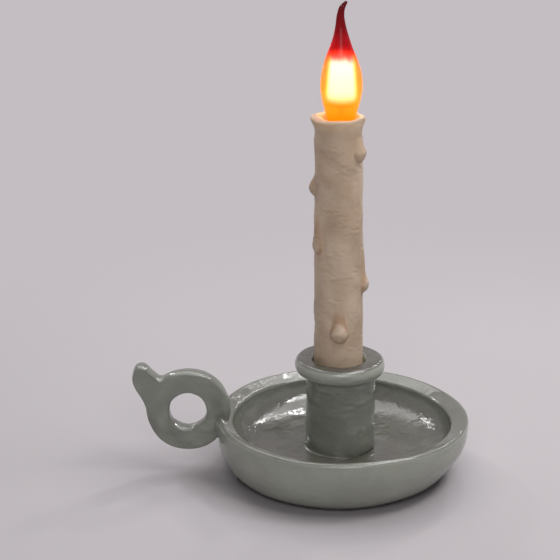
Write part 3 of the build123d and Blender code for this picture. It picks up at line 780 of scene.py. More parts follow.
def grid_mesh(
    name: str, points: Array, closing: Closing, marks: dict[str, Array] | None = None,
) -> bpy.types.Object:
    """Make a smooth closed mesh object from a grid of points in millimetres.

    Args:
        name: Name of the piece.
        points: Rows by columns by 3.
        closing: How the rows end.
        marks: Values to keep on the points, rows by columns, by name.

    Returns:
        The object, at the origin.
    """
    rows, columns = points.shape[:2]
    mesh = bpy.data.meshes.new(name)
    places = in_point_order(points, closing) * MM
    mesh.from_pydata(places.tolist(), [], grid_faces(rows, columns, closing))
    for mark, values in (marks or {}).items():
        layer = mesh.attributes.new(mark, "FLOAT", "POINT")
        spread = np.broadcast_to(values, (rows, columns)).copy()
        layer.data.foreach_set("value", in_point_order(spread, closing).ravel())
    mesh.validate()
    mesh.shade_smooth()
    piece = bpy.data.objects.new(name, mesh)
    bpy.context.scene.collection.objects.link(piece)
    return piece


def turn_angles(columns: int) -> Array:
    """Even angles round a full turn."""
    return np.arange(columns) * FULL_TURN / columns


def turn_from(degrees: float, angle: Array) -> Array:
    """Turn from a direction to each angle, from -pi to pi."""
    return (angle - math.radians(degrees) + math.pi) % FULL_TURN - math.pi


def round_axis(radius: Array, height: Array, angle: Array) -> Array:
    """Points at a radius and height round the lamp's axis: (r cos a, r sin a, z)."""
    radius, height, angle = np.broadcast_arrays(radius, height, angle)
    return np.stack((radius * np.cos(angle), radius * np.sin(angle), height), -1)


def put(
    piece: bpy.types.Object, body: str, slot: str, replaced: Sequence[str] = (),
    finish: Finish | None = None,
) -> None:
    """Give a piece its finish, its body and the nodes that it stands for.

    Args:
        piece: New piece.
        body: Body that it moves with.
        slot: Material slot of the record.
        replaced: Nodes that it replaces.
        finish: Finish, where it isn't the slot's own.
    """
    piece.data.materials.append((finish or SLOT_FINISHES[slot]).material())
    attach(piece, body)
    if replaced:
        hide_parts(*replaced)
    log.info("%s: %d faces, rides on %s", piece.name, len(piece.data.polygons), body)


# Glazed pieces


@dataclass
class Dish:
    """Thrown saucer with a rolled rim, a little out of round. Sizes are in millimetres."""

    foot_lift: float = 1.5
    foot_radius: float = 72.0
    foot_drop: float = 1.2
    rim_radius: float = 103.0
    rim_height: float = 50.0
    rim_width: float = 14.5
    rim_round: float = 3.0
    rim_slope: float = 22.0
    side_low: float = 42.0
    floor_top: float = 22.5
    floor_flat: float = 58.0
    ceiling: float = 17.5
    cavity_radius: float = 62.0
    locator_radius: float = 18.4
    locator_top: float = 26.5
    pipe_hole: float = 5.1
    groove: Triple = (63.4, 69.6, 3.0)
    boss_radii: Pair = (4.5, 1.5)
    boss_low: float = 5.0
    boss_circle: float = 53.0
    boss_degrees: tuple[int, ...] = (60, 120, 240, 300)
    boss_columns: int = 28
    boss_pitch: float = 4.0
    columns: int = 340
    pitch: float = 1.4
    rim_pitch: float = 0.9
    round_pitch: float = 0.5
    coarse: float = 6.0

    # Even growth of the radius, growth towards the right, and how much sooner than the marks it is full
    outer_growth: Pair = (0.85, 3.85)
    bowl_growth: Pair = (1.05, 3.35)
    growth_lead: float = 4.0

    # Where each form sets in and where it is full: heights, radii, runs past the rim and slopes
    outer_growth_heights: Pair = (4, 44)
    bowl_growth_radii: Pair = (55, 86)
    waver_heights: Pair = (6, 40)
    waver_radii: Pair = (60, 95)
    lift_heights: Pair = (20, 48)
    lift_radii: Pair = (70, 98)
    drop_heights: Pair = (3, 22)
    drop_radii: Pair = (70.5, 76)
    luted_heights: Pair = (34, 44)
    inside_runs: Pair = (-2, 12)
    level_slopes: Pair = (0.30, 0.90)
    wall_slopes: Pair = (0.10, 0.92)

    # Height, distance from the handle's middle and width of the clay luted up beside the handle
    luted_ridge: Triple = (1.8, 13.0, 4.0)
    luted_groove: Triple = (2.2, 7.2, 2.2)

    # Marks of brush and hand, with their heights
    strokes: Ripple = Ripple(11, 26, (1, 6), (5, 13))
    lumps: Ripple = Ripple(12, 20, (2, 8), (26, 80))
    dabs: Ripple = Ripple(13, 30, (12, 40), (6, 16))
    stroke_height: float = 0.012
    lump_height: float = 0.24
    dab_height: float = 0.03
    mark_fades: Pair = (14.0, 10.0)

    # Depth of the glaze on the side; painted shade on level parts; pooled glaze with painted shade in the
    # bowl, less on the bowl's wall
    side_glaze: float = 0.18
    level_painted_shade: float = 0.62
    bowl_glaze_and_shade: float = 0.80
    wall_glaze: float = 0.48
    boss_glaze: float = 0.7

    def outline(self) -> tuple[Array, Array]:
        """Closed outline of the dish's section, and how much each point may waver.

        Returns:
            Points of (radius, height), and a weight from 0 under the dish to 1 on what shows.
        """
        inner = self.rim_radius - self.rim_width
        rim_low = self.rim_height - self.rim_round
        slope = math.radians(self.rim_slope)
        edge = (self.rim_radius - self.rim_round, rim_low)
        bowl_top = rim_low - (edge[0] - inner - self.rim_round) * math.tan(slope)
        brink = (inner + self.rim_round, bowl_top)
        tilt = self.rim_round * np.array((-math.sin(slope), math.cos(slope)))
        turn = 90 + self.rim_slope
        rim_radii = (self.rim_round, self.rim_round)
        side_radii = (self.rim_radius - self.foot_radius, self.side_low - self.foot_lift)
        bowl_radii = (inner - self.floor_flat, bowl_top - self.floor_top)
        seen = np.vstack((
            arc((self.foot_radius, self.side_low), side_radii, 270, 90, self.pitch),
            line((self.rim_radius, self.side_low), (self.rim_radius, rim_low), self.pitch),
            arc(edge, rim_radii, 0, turn, self.round_pitch),
            line(edge + tilt, brink + tilt, self.rim_pitch),
            arc(brink, rim_radii, turn, 180 - turn, self.round_pitch),
            arc((self.floor_flat, bowl_top), bowl_radii, 0, -90, self.pitch),
            line((self.floor_flat, self.floor_top), (self.locator_radius, self.floor_top), self.pitch),
        ))
        groove_in, groove_out, groove_top = self.groove
        unseen = corner_path((
            (self.locator_radius, self.floor_top), (self.locator_radius, self.locator_top),
            (self.pipe_hole, self.locator_top), (self.pipe_hole, self.ceiling),
            (self.cavity_radius, self.ceiling), (self.cavity_radius, self.foot_lift),
            (groove_in, self.foot_lift), (groove_in, groove_top), (groove_out, groove_top),
            (groove_out, self.foot_lift), (self.foot_radius, self.foot_lift),
        ), self.coarse)
        run = outline_lengths(seen)
        weight = soft_step(run, 0, self.mark_fades[0]) * soft_step(run[-1] - run, 0, self.mark_fades[1])
        return np.vstack((seen, unseen)), np.concatenate((weight, np.zeros(len(unseen))))

    def out_of_round(self, radius: Array, height: Array, angle: Array, inside: Array) -> Array:
        """How far the hand-made dish stands outside its true circle.

        Side and bowl each grow by an even part + a part times cos a at the rim, less further down, and both
        waver by 0.5 cos(2 a + 0.8) + 0.35 cos(3 a + 2.1).

        Args:
            radius: True radii.
            height: Heights.
            angle: Angles a round the axis.
            inside: 0 on the outer side and 1 in the bowl.

        Returns:
            Growth of the radius in millimetres.
        """
        outer = self.outer_growth[0] + self.outer_growth[1] * np.cos(angle)
        outer = outer * soft_step(height, *self.outer_growth_heights)
        bowl = self.bowl_growth[0] + self.bowl_growth[1] * np.cos(angle)
        bowl = bowl * soft_step(radius, *self.bowl_growth_radii)
        waver = 0.5 * np.cos(2 * angle + 0.8) + 0.35 * np.cos(3 * angle + 2.1)
        waver = waver * soft_step(radius, *self.waver_radii) * soft_step(height, *self.waver_heights)
        return (1 - inside) * outer + inside * bowl + waver

    def luting(self, radius: Array, angle: Array) -> Array:
        """Clay luted up beside the handle: a bell-shaped ridge less a bell-shaped groove, on the left only.

        Args:
            radius: True radii.
            angle: Angles round the axis.

        Returns:
            Height over the dish's side in millimetres.
        """
        right_side = 2 * self.rim_radius * (np.cos(angle) > 0)
        aside = np.abs(radius * np.sin(angle)) + right_side
        ridge, ridge_at, ridge_width = self.luted_ridge
        groove, groove_at, groove_width = self.luted_groove
        return ridge * bell(aside - ridge_at, ridge_width) - groove * bell(aside - groove_at, groove_width)

    def build(self) -> None:
        """Make the dish: its section turned about the axis, pushed along its normals by brush and hand.

        At the angle a its rim rises by 0.5 cos(2 a + 1.9) + 0.3 cos(5 a).
        Beside the foot its side drops a little.
        """
        section, shown = self.outline()
        weight = shown[:, None]
        normal = outline_normals(section)
        run = outline_lengths(section)[:, None]
        angle = turn_angles(self.columns)[None, :]
        radius = section[:, :1]
        height = section[:, 1:]
        rim_run = run[np.argmax(section[:, 1])]
        inside = soft_step(run, rim_run + self.inside_runs[0], rim_run + self.inside_runs[1])
        outside = 1 - inside
        push = self.stroke_height * self.strokes.at(angle, run) * outside
        push = push + self.lump_height * self.lumps.at(angle, run)
        push = (push + self.dab_height * self.dabs.at(angle, run)) * weight
        luted = self.luting(radius, angle) * soft_step(height, *self.luted_heights)
        push = push + luted * outside * weight
        grown = radius + push * normal[:, :1]
        growth = self.out_of_round(radius, height, angle, inside)
        grown = grown + growth * np.minimum(1, weight * self.growth_lead)
        lift = 0.5 * np.cos(2 * angle + 1.9) + 0.3 * np.cos(5 * angle)
        lift = lift * soft_step(radius, *self.lift_radii) * weight * soft_step(height, *self.lift_heights)
        drop = soft_step(radius, *self.drop_radii) * (1 - soft_step(height, *self.drop_heights))
        raised = height + push * normal[:, 1:] + lift - self.foot_drop * outside * drop
        inner = self.rim_radius - self.rim_width
        bowl = soft_step(-radius, -(inner + self.rim_round / 2), -inner)
        level = soft_step(normal[:, 1:], *self.level_slopes) * (1 - bowl)
        steep = 1 - soft_step(normal[:, 1:], *self.wall_slopes)
        # Painted shade: level parts and the bowl are darkened on top of the real glaze depth.
        depth = self.side_glaze + self.level_painted_shade * level
        depth = depth + (self.bowl_glaze_and_shade - self.wall_glaze * steep) * bowl
        points = round_axis(grown, raised, angle)
        piece = grid_mesh("dish_body", points, Closing.LOOP, {"glaze_depth_and_painted_light": depth})
        put(piece, "lamp", "glaze", ("dish",))
        self.build_bosses()

    def build_bosses(self) -> None:
        """Make the screw posts under the dish: short tubes, each a ring section turned about its axis."""
        outer, inner = self.boss_radii
        corners = (
            (outer, self.boss_low), (outer, self.ceiling), (inner, self.ceiling), (inner, self.boss_low),
            (outer, self.boss_low),
        )
        ring = corner_path(corners, self.boss_pitch)
        post = round_axis(ring[:, :1], ring[:, 1:], turn_angles(self.boss_columns)[None, :])
        marks = {"glaze_depth_and_painted_light": np.array(self.boss_glaze)}
        for number, degrees in enumerate(self.boss_degrees, 1):
            turn = math.radians(degrees)
            middle = np.array((self.boss_circle * math.cos(turn), self.boss_circle * math.sin(turn), 0))
            put(grid_mesh(f"dish_boss_{number}", post + middle, Closing.LOOP, marks), "lamp", "glaze")


@dataclass
class FingerHandle:
    """Flat clay ring with a thumb lug, luted to the dish's rim. Sizes are in millimetres."""

    centre_x: float = -124.2
    centre_z: float = 54.5
    ring_radius: float = 34.9
    finger_radius: float = 15.3
    half_thick: float = 7.0
    outer_round: float = 2.4
    inner_round: float = 2.4
    edge_power: float = 2.5
    lug_reach: float = 45.5
    lug_height: float = 40.4
    lug_width: float = 18.0
    lug_root: float = 128.0
    ring_points: int = 240
    lug_points: int = 90
    lug_lead: int = 5
    soften: int = 14
    around: int = 300
    edge_points: int = 14
    flat_points: int = 14

    # Marks of the hand, with their heights, and the run that keeps those of the two faces apart
    lumps: Ripple = Ripple(21, 22, (1, 6), (14, 40))
    dabs: Ripple = Ripple(22, 26, (8, 26), (5, 14))
    lump_height: float = 0.16
    dab_height: float = 0.04
    face_gap: float = 40.0

    # Depth of the glaze, with painted shade on level parts and less glaze on lumps
    face_glaze: float = 0.44
    level_painted_shade: float = 0.24
    level_slopes: Pair = (0.30, 0.90)
    lump_glaze: float = 0.05

    def outer_loop(self) -> Array:
        """Outline of the slab: the ring's circle, then a smooth curve up round the lug and back.

        Returns:
            Even points of (x, z) from the ring's centre, anticlockwise seen from the front.
        """
        sweep = np.radians(np.linspace(self.lug_root, -180, self.ring_points))
        ring = self.ring_radius * np.stack((np.cos(sweep), np.sin(sweep)), 1)
        left = -self.lug_reach
        wide = self.lug_width
        high = self.lug_height
        shoulder = high - wide / 2
        knots = np.array((
            ring[-1 - self.lug_lead], ring[-1], (left, shoulder),
            (left + 0.2 * wide, high - 0.08 * wide), (left + 0.6 * wide, high - 0.05 * wide),
            (left + wide, shoulder), ring[0], ring[self.lug_lead],
        ))
        run = outline_lengths(knots)
        at = np.linspace(run[1], run[-2], self.lug_points)
        lug = np.stack([curve_through(at, run, knots[:, axis]) for axis in (0, 1)], 1)
        return rounded(even_loop(np.vstack((ring, lug[1:-1])), self.around), self.soften)[::-1]

    def section(self) -> tuple[Array, Array, Array]:
        """Section across the slab from the finger hole to the outer edge and back.

        The edges are quarter superellipses, (1 - d / round)^p + (y / half)^p = 1, with p the edge power.

        Returns:
            Distance from the hole's edge as offset + share * width, and the place across the thickness.
        """
        t = np.linspace(0, math.pi / 2, self.edge_points)
        inward = 1 - np.cos(t) ** (2 / self.edge_power)
        rise = np.sin(t) ** (2 / self.edge_power)
        flat = np.linspace(0, 1, self.flat_points)[1:-1]
        inner = self.inner_round
        outer = self.outer_round
        offset = np.concatenate((inner * inward, inner - flat * (inner + outer), -outer * inward[::-1]))
        share = np.concatenate((np.zeros(len(t)), flat, np.ones(len(t))))
        across = np.concatenate((rise, np.ones(len(flat)), rise[::-1]))
        back = slice(-2, 0, -1)
        return (
            np.concatenate((offset, offset[back])),
            np.concatenate((share, share[back])),
            np.concatenate((-across, across[back])) * self.half_thick,
        )

    def build(self) -> None:
        """Make the slab: its section carried round the finger hole, pushed along its normals by hand."""
        outer = self.outer_loop()
        angle = np.arctan2(outer[:, 1], outer[:, 0])
        inner = self.finger_radius * np.stack((np.cos(angle), np.sin(angle)), 1)
        width = np.linalg.norm(outer - inner, axis=1)[:, None]
        way = (outer - inner) / width
        offset, share, across = self.section()
        heel = inner[:, None, :] + np.maximum(offset, 0)[None, :, None] * way[:, None, :]
        crown = outer[:, None, :] + np.minimum(offset, 0)[None, :, None] * outline_normals(outer)[:, None, :]
        flat = heel + share[None, :, None] * (crown - heel)
        reach = np.maximum(offset, 0)[None, :] + share[None, :] * width
        thick = np.broadcast_to(across[None, :], reach.shape)
        points = np.stack((flat[..., 0], thick, flat[..., 1]), -1)
        normal = loop_normals(points)
        run = reach + self.face_gap * np.sign(thick)
        lumps = self.lumps.at(angle[:, None], run)
        push = self.lump_height * lumps + self.dab_height * self.dabs.at(angle[:, None], run)
        points = points + push[..., None] * normal + np.array((self.centre_x, 0, self.centre_z))
        level = soft_step(normal[..., 2], *self.level_slopes)
        # Painted shade on level parts, on top of the real glaze depth.
        depth = self.face_glaze + self.level_painted_shade * level - self.lump_glaze * lumps
        piece = grid_mesh("handle_slab", points, Closing.LOOP, {"glaze_depth_and_painted_light": depth})
        put(piece, "lamp", "glaze", ("finger_handle",))


@dataclass
class CandleCup:
    """Column with a rolled collar round the candle's socket. Sizes are in millimetres."""

    column_radius: float = 28.5
    collar_radius: float = 36.5
    collar_height: float = 12.4
    neck_round: float = 3.5
    top: float = 100.5
    bore: float = 21.3
    mouth_round: float = 3.0
    mouth_depth: float = 8.0
    floor: float = 70.5
    web: float = 64.5
    hollow: float = 18.5
    pipe_hole: float = 5.1
    foot: float = 22.3
    fillet: float = 0.8
    columns: int = 180
    pitch: float = 1.0
    top_pitch: float = 0.8
    roll_pitch: float = 0.6
    round_pitch: float = 0.4
    coarse: float = 5.0

    # Swelling and tilt of the collar, and lean to the right, less at the collar and in the mouth
    collar_swell: float = 0.5
    collar_tilt: float = 0.35
    lean: float = 2.2
    collar_lean: float = 1.1
    mouth_lean: float = 0.8

    # Where each form sets in and where it is full: heights, radii inwards, lumps and slopes
    collar_heights: Pair = (84, 90)
    neck_heights: Pair = (70, 84)
    stroke_heights: Pair = (44, 66)
    mouth_radii: Pair = (30, 22)
    stroke_lumps: Pair = (-0.8, 1.0)
    level_slopes: Pair = (0.45, 0.95)
    foot_rise: float = 14.0
    fade_in: float = 2.0

    # Marks of brush and hand, with their heights
    strokes: Ripple = Ripple(31, 30, (2, 9), (4, 9))
    lumps: Ripple = Ripple(32, 18, (2, 6), (16, 44))
    dabs: Ripple = Ripple(33, 26, (7, 22), (4, 10))
    stroke_height: float = 0.040
    collar_calm: float = 0.6
    lump_height: float = 0.09
    dab_height: float = 0.02

    # Depth of the glaze on the column, and what each part adds to it or takes off: painted shade on level
    # parts, and a thinner glaze with a painted highlight on the collar
    column_glaze: float = 0.44
    collar_glaze_and_highlight: float = -0.25
    level_painted_shade: float = 0.84
    neck_glaze: float = 0.08
    stroke_glaze: float = -0.06
    hidden_glaze: float = 0.3
    foot_glaze: float = 0.35

    def outline(self) -> tuple[Array, int]:
        """Closed outline of the cup's section.

        Returns:
            Points of (radius, height), and how many of them are on the surface that shows.
        """
        column = self.column_radius
        foot_radius = column + self.fillet
        neck_radius = column + self.neck_round
        mouth_radius = self.bore + self.mouth_round
        low = self.foot + self.fillet
        neck = self.top - self.collar_height - self.neck_round
        middle = self.top - self.collar_height / 2
        collar_radii = (self.collar_radius - neck_radius, self.collar_height / 2)
        mouth = self.top - self.mouth_round
        mouth_end = mouth - self.mouth_depth
        seen = np.vstack((
            arc((foot_radius, low), (self.fillet, self.fillet), 270, -90, self.round_pitch),
            line((column, low), (column, neck), self.pitch),
            arc((neck_radius, neck), (self.neck_round, self.neck_round), 180, -90, self.round_pitch),
            arc((neck_radius, middle), collar_radii, -90, 180, self.roll_pitch),
            line((neck_radius, self.top), (mouth_radius, self.top), self.top_pitch),
            arc((mouth_radius, mouth), (self.mouth_round, self.mouth_round), 90, 90, self.roll_pitch),
            line((self.bore, mouth), (self.bore, mouth_end), self.pitch),
        ))
        unseen = corner_path((
            (self.bore, mouth_end), (self.bore, self.floor), (self.pipe_hole, self.floor),
            (self.pipe_hole, self.web), (self.hollow, self.web), (self.hollow, self.foot),
            (foot_radius, self.foot),
        ), self.coarse)
        return np.vstack((seen, unseen)), len(seen)

    def build(self) -> None:
        """Make the cup: its section turned about the axis, pushed along its normals and leaning a little."""
        section, seen = self.outline()
        normal = outline_normals(section)
        run = outline_lengths(section)[:, None]
        angle = turn_angles(self.columns)[None, :]
        radius = section[:, :1]
        height = section[:, 1:]
        shown = np.zeros((len(section), 1))
        shown[:seen] = 1
        end = run[seen - 1]
        weight = shown * (1 - soft_step(run, end - self.mouth_depth, end)) * soft_step(run, 0, self.fade_in)
        strokes = self.strokes.at(angle, run)
        lumps = self.lumps.at(angle, run)
        collar = soft_step(height, *self.collar_heights)
        broken = soft_step(height, *self.stroke_heights) * soft_step(lumps, *self.stroke_lumps)
        push = self.stroke_height * strokes * broken * (1 - self.collar_calm * collar)
        push = push + self.lump_height * lumps
        push = (push + self.dab_height * self.dabs.at(angle, run)) * weight
        grown = radius + push * normal[:, :1] + self.collar_swell * collar * weight
        tilt = self.collar_tilt * np.cos(angle + 2.4) * collar * weight
        raised = height + push * normal[:, 1:] + tilt
        points = round_axis(grown, raised, angle)
        mouth = soft_step(radius, *self.mouth_radii)
        points[..., 0] += (self.lean - self.collar_lean * collar - self.mouth_lean * mouth) * weight
        neck = soft_step(height, *self.neck_heights) * (1 - collar)
        level = soft_step(normal[:, 1:], *self.level_slopes)
        foot = 1 - soft_step(height, self.foot, self.foot + self.foot_rise)
        # Painted shade on level parts and a painted highlight on the collar, on top of the real glaze depth.
        depth = self.column_glaze + self.collar_glaze_and_highlight * collar + self.level_painted_shade * level
        depth = depth + self.neck_glaze * neck + self.stroke_glaze * strokes * broken * weight
        depth = depth + self.hidden_glaze * (1 - shown) + self.foot_glaze * foot * shown
        piece = grid_mesh("cup_body", points, Closing.LOOP, {"glaze_depth_and_painted_light": depth})
        put(piece, "lamp", "glaze", ("candle_cup",))


# Candle


@dataclass(frozen=True)
class Run:
    """Run of wax down the candle's side.

    Attributes:
        angle: Direction from the axis in degrees.
        height: Height of the bead's middle in millimetres.
        bead: Radius of the bead at the run's end.
        stand_out: How far the bead stands out of the candle.
        tail: Length of the tail over the bead.
    """

    angle: float
    height: float
    bead: float
    stand_out: float
    tail: float

    def at(self, angle: Array, height: Array, radius: float) -> Array:
        """How far the run stands out of the candle.

        With s across and v up from the bead's middle: (1 - (v / b)^2 - (s / w)^2)^p below it and
        (1 - (s / w)^2)^p above it, times a height that falls into a tail. On the way up w narrows and
        p grows.

        Args:
            angle: Angles round the candle.
            height: Heights in millimetres.
            radius: Candle's radius.

        Returns:
            Stand-out in millimetres.
        """
        above = height - self.height
        aside = turn_from(self.angle, angle) * radius
        up = np.clip(above / self.tail, 0, 1)
        fall = 0.30 * bell(np.maximum(above, 0), self.bead) + 0.70 * (1 - up) ** 1.1
        half = self.bead * (1.05 - 0.45 * up)
        below = np.minimum(above, 0) / (1.2 * self.bead)
        power = 0.75 + 0.45 * soft_step(above, -self.bead, 1.6 * self.bead)
        return self.stand_out * fall * np.clip(1 - below**2 - (aside / half) ** 2, 0, 1) ** power


@dataclass
class Candle:
    """Hollow drip candle with a rolled, uneven rim. Sizes are in millimetres."""

    bottom: float = 73.5
    top: float = 304.0
    foot_radius: float = 19.6
    top_radius: float = 18.6
    bore: float = 15.0
    rim_round: float = 2.2
    mouth_depth: float = 24.0
    swell: float = 0.5
    pinch: float = 0.5
    pinch_below: float = 14.0
    pinch_width: float = 5.0
    lean: float = 1.9
    bend: float = 1.3
    columns: int = 230
    pitch: float = 0.85
    rim_pitch: float = 0.35
    mouth_pitch: float = 1.2
    foot_pitch: float = 2.4
    coarse: float = 12.0

    # Where each form, the painted lamp light and the painted bore shade set in and where each is full:
    # heights over the foot, depths under the top and breaks
    skin_heights: Pair = (24, 44)
    lip_depths: Pair = (13, 2)
    rise_depths: Pair = (14, 0)
    bore_shade_depths: Pair = (16, 3)
    painted_glow_depths: Pair = (20, 1)
    break_range: Pair = (-0.6, 1.2)

    # Marks of the hand, with their heights, the run's height that counts as full, and the share of painted
    # lamp light outside the mouth
    wrinkles: Ripple = Ripple(41, 48, (1, 11), (2.8, 7.0))
    lumps: Ripple = Ripple(42, 24, (1, 4), (18, 70))
    picks: Ripple = Ripple(43, 40, (9, 26), (2.6, 7.0))
    breaks: Ripple = Ripple(44, 16, (1, 5), (14, 50))
    wrinkle_height: float = 0.10
    lump_height: float = 0.24
    pick_height: float = 0.05
    full_run: float = 3.6
    outer_painted_glow: float = 0.10
    runs: tuple[Run, ...] = (
        Run(327, 277.0, 7.2, 5.6, 12.0),
        Run(181, 246.5, 6.6, 4.2, 10.0),
        Run(209, 200.0, 7.0, 4.6, 28.0),
        Run(350, 166.0, 6.8, 5.0, 34.0),
        Run(271, 128.5, 7.4, 6.0, 21.0),
        Run(96, 258.0, 6.4, 4.0, 20.0),
        Run(62, 182.0, 6.4, 3.8, 28.0),
        Run(128, 141.0, 7.0, 4.2, 24.0),
    )

    def near_top(self, height: Array, depths: Pair) -> Array:
        """Soft step from 0 at the first depth under the candle's top to 1 at the second."""
        return soft_step(height, self.top - depths[0], self.top - depths[1])

    def rim(self, angle: Array) -> tuple[Array, Array]:
        """Unevenness of the candle's rim: a bell-shaped lip on the left and the right, and a few waves.

        Args:
            angle: Angles round the candle.

        Returns:
            Stand-out of the rim's lip and its rise, in millimetres.
        """
        left = bell(turn_from(184, angle), 0.55)
        right = bell(turn_from(5, angle), 0.5)
        lip = 0.6 + 3.3 * left + 1.3 * right + 0.3 * np.cos(3 * angle + 0.6) + 0.2 * np.cos(7 * angle)
        rise = 1.3 * left + 0.4 * np.cos(2 * angle + 1.0) + 0.35 * np.cos(5 * angle + 2.2) - 0.3
        return lip, rise

    def build(self) -> None:
        """Make the candle: a turned tube whose outside carries wrinkles, runs and a rolled lip."""
        rim_low = self.top - self.rim_round
        mouth_end = self.top - self.mouth_depth
        outer = line((self.foot_radius, self.bottom), (self.top_radius, rim_low), self.pitch)
        middle = (self.top_radius + self.bore) / 2
        half = (self.top_radius - self.bore) / 2
        rim = arc((middle, rim_low), (half, self.rim_round), 0, 180, self.rim_pitch)
        section = np.vstack((
            outer,
            rim,
            line((self.bore, rim_low), (self.bore, mouth_end), self.mouth_pitch),
            line((self.bore, mouth_end), (self.bore, self.bottom), self.coarse),
            line((self.bore, self.bottom), (self.foot_radius, self.bottom), self.foot_pitch),
        ))
        angle = turn_angles(self.columns)[None, :]
        radius = section[:, :1]
        height = section[:, 1:]
        cover = np.zeros((len(section), 1))
        cover[:len(outer)] = 1
        cover[len(outer):len(outer) + len(rim)] = np.linspace(1, 0, len(rim))[:, None]
        broken = soft_step(self.breaks.at(angle, height), *self.break_range)
        skin = self.wrinkle_height * self.wrinkles.at(angle, height) * broken
        skin = skin + self.lump_height * self.lumps.at(angle, height)
        skin = skin + self.pick_height * self.picks.at(angle, height) * broken
        smooth_to, skin_from = self.skin_heights
        skin = skin * soft_step(height, self.bottom + smooth_to, self.bottom + skin_from)
        run = np.zeros((len(section), self.columns))
        for wax_run in self.runs:
            run = np.maximum(run, wax_run.at(angle, height, self.foot_radius))
        lip, rise = self.rim(angle)
        near_rim = self.near_top(height, self.lip_depths) ** self.bend
        pinch = -self.pinch * bell(height - self.top + self.pinch_below, self.pinch_width)
        grown = radius + cover * (self.swell + skin + run + lip * near_rim + pinch)
        raised = height + rise * self.near_top(height, self.rise_depths)
        points = round_axis(grown, raised, angle)
        way_up = np.clip((height - self.bottom) / (self.top - self.bottom), 0, 1)
        points[..., 0] -= self.lean * way_up**self.bend * cover
        # Painted lamp light on the wax near the top: full inside the mouth, faint outside.
        near = self.near_top(height, self.painted_glow_depths) ** 2
        marks = {
            "wax_run": np.clip(run / self.full_run, 0, 1),
            # Painted shade deep down the bore.
            "painted_bore_shade": (1 - cover) * (1 - self.near_top(height, self.bore_shade_depths)),
            "painted_lamp_light": near * np.where(cover < 0.5, 1.0, self.outer_painted_glow),
        }
        piece = grid_mesh("candle_wax", points, Closing.LOOP, marks)
        put(piece, "lamp", "wax", ("candle_sleeve",))


# Lamp


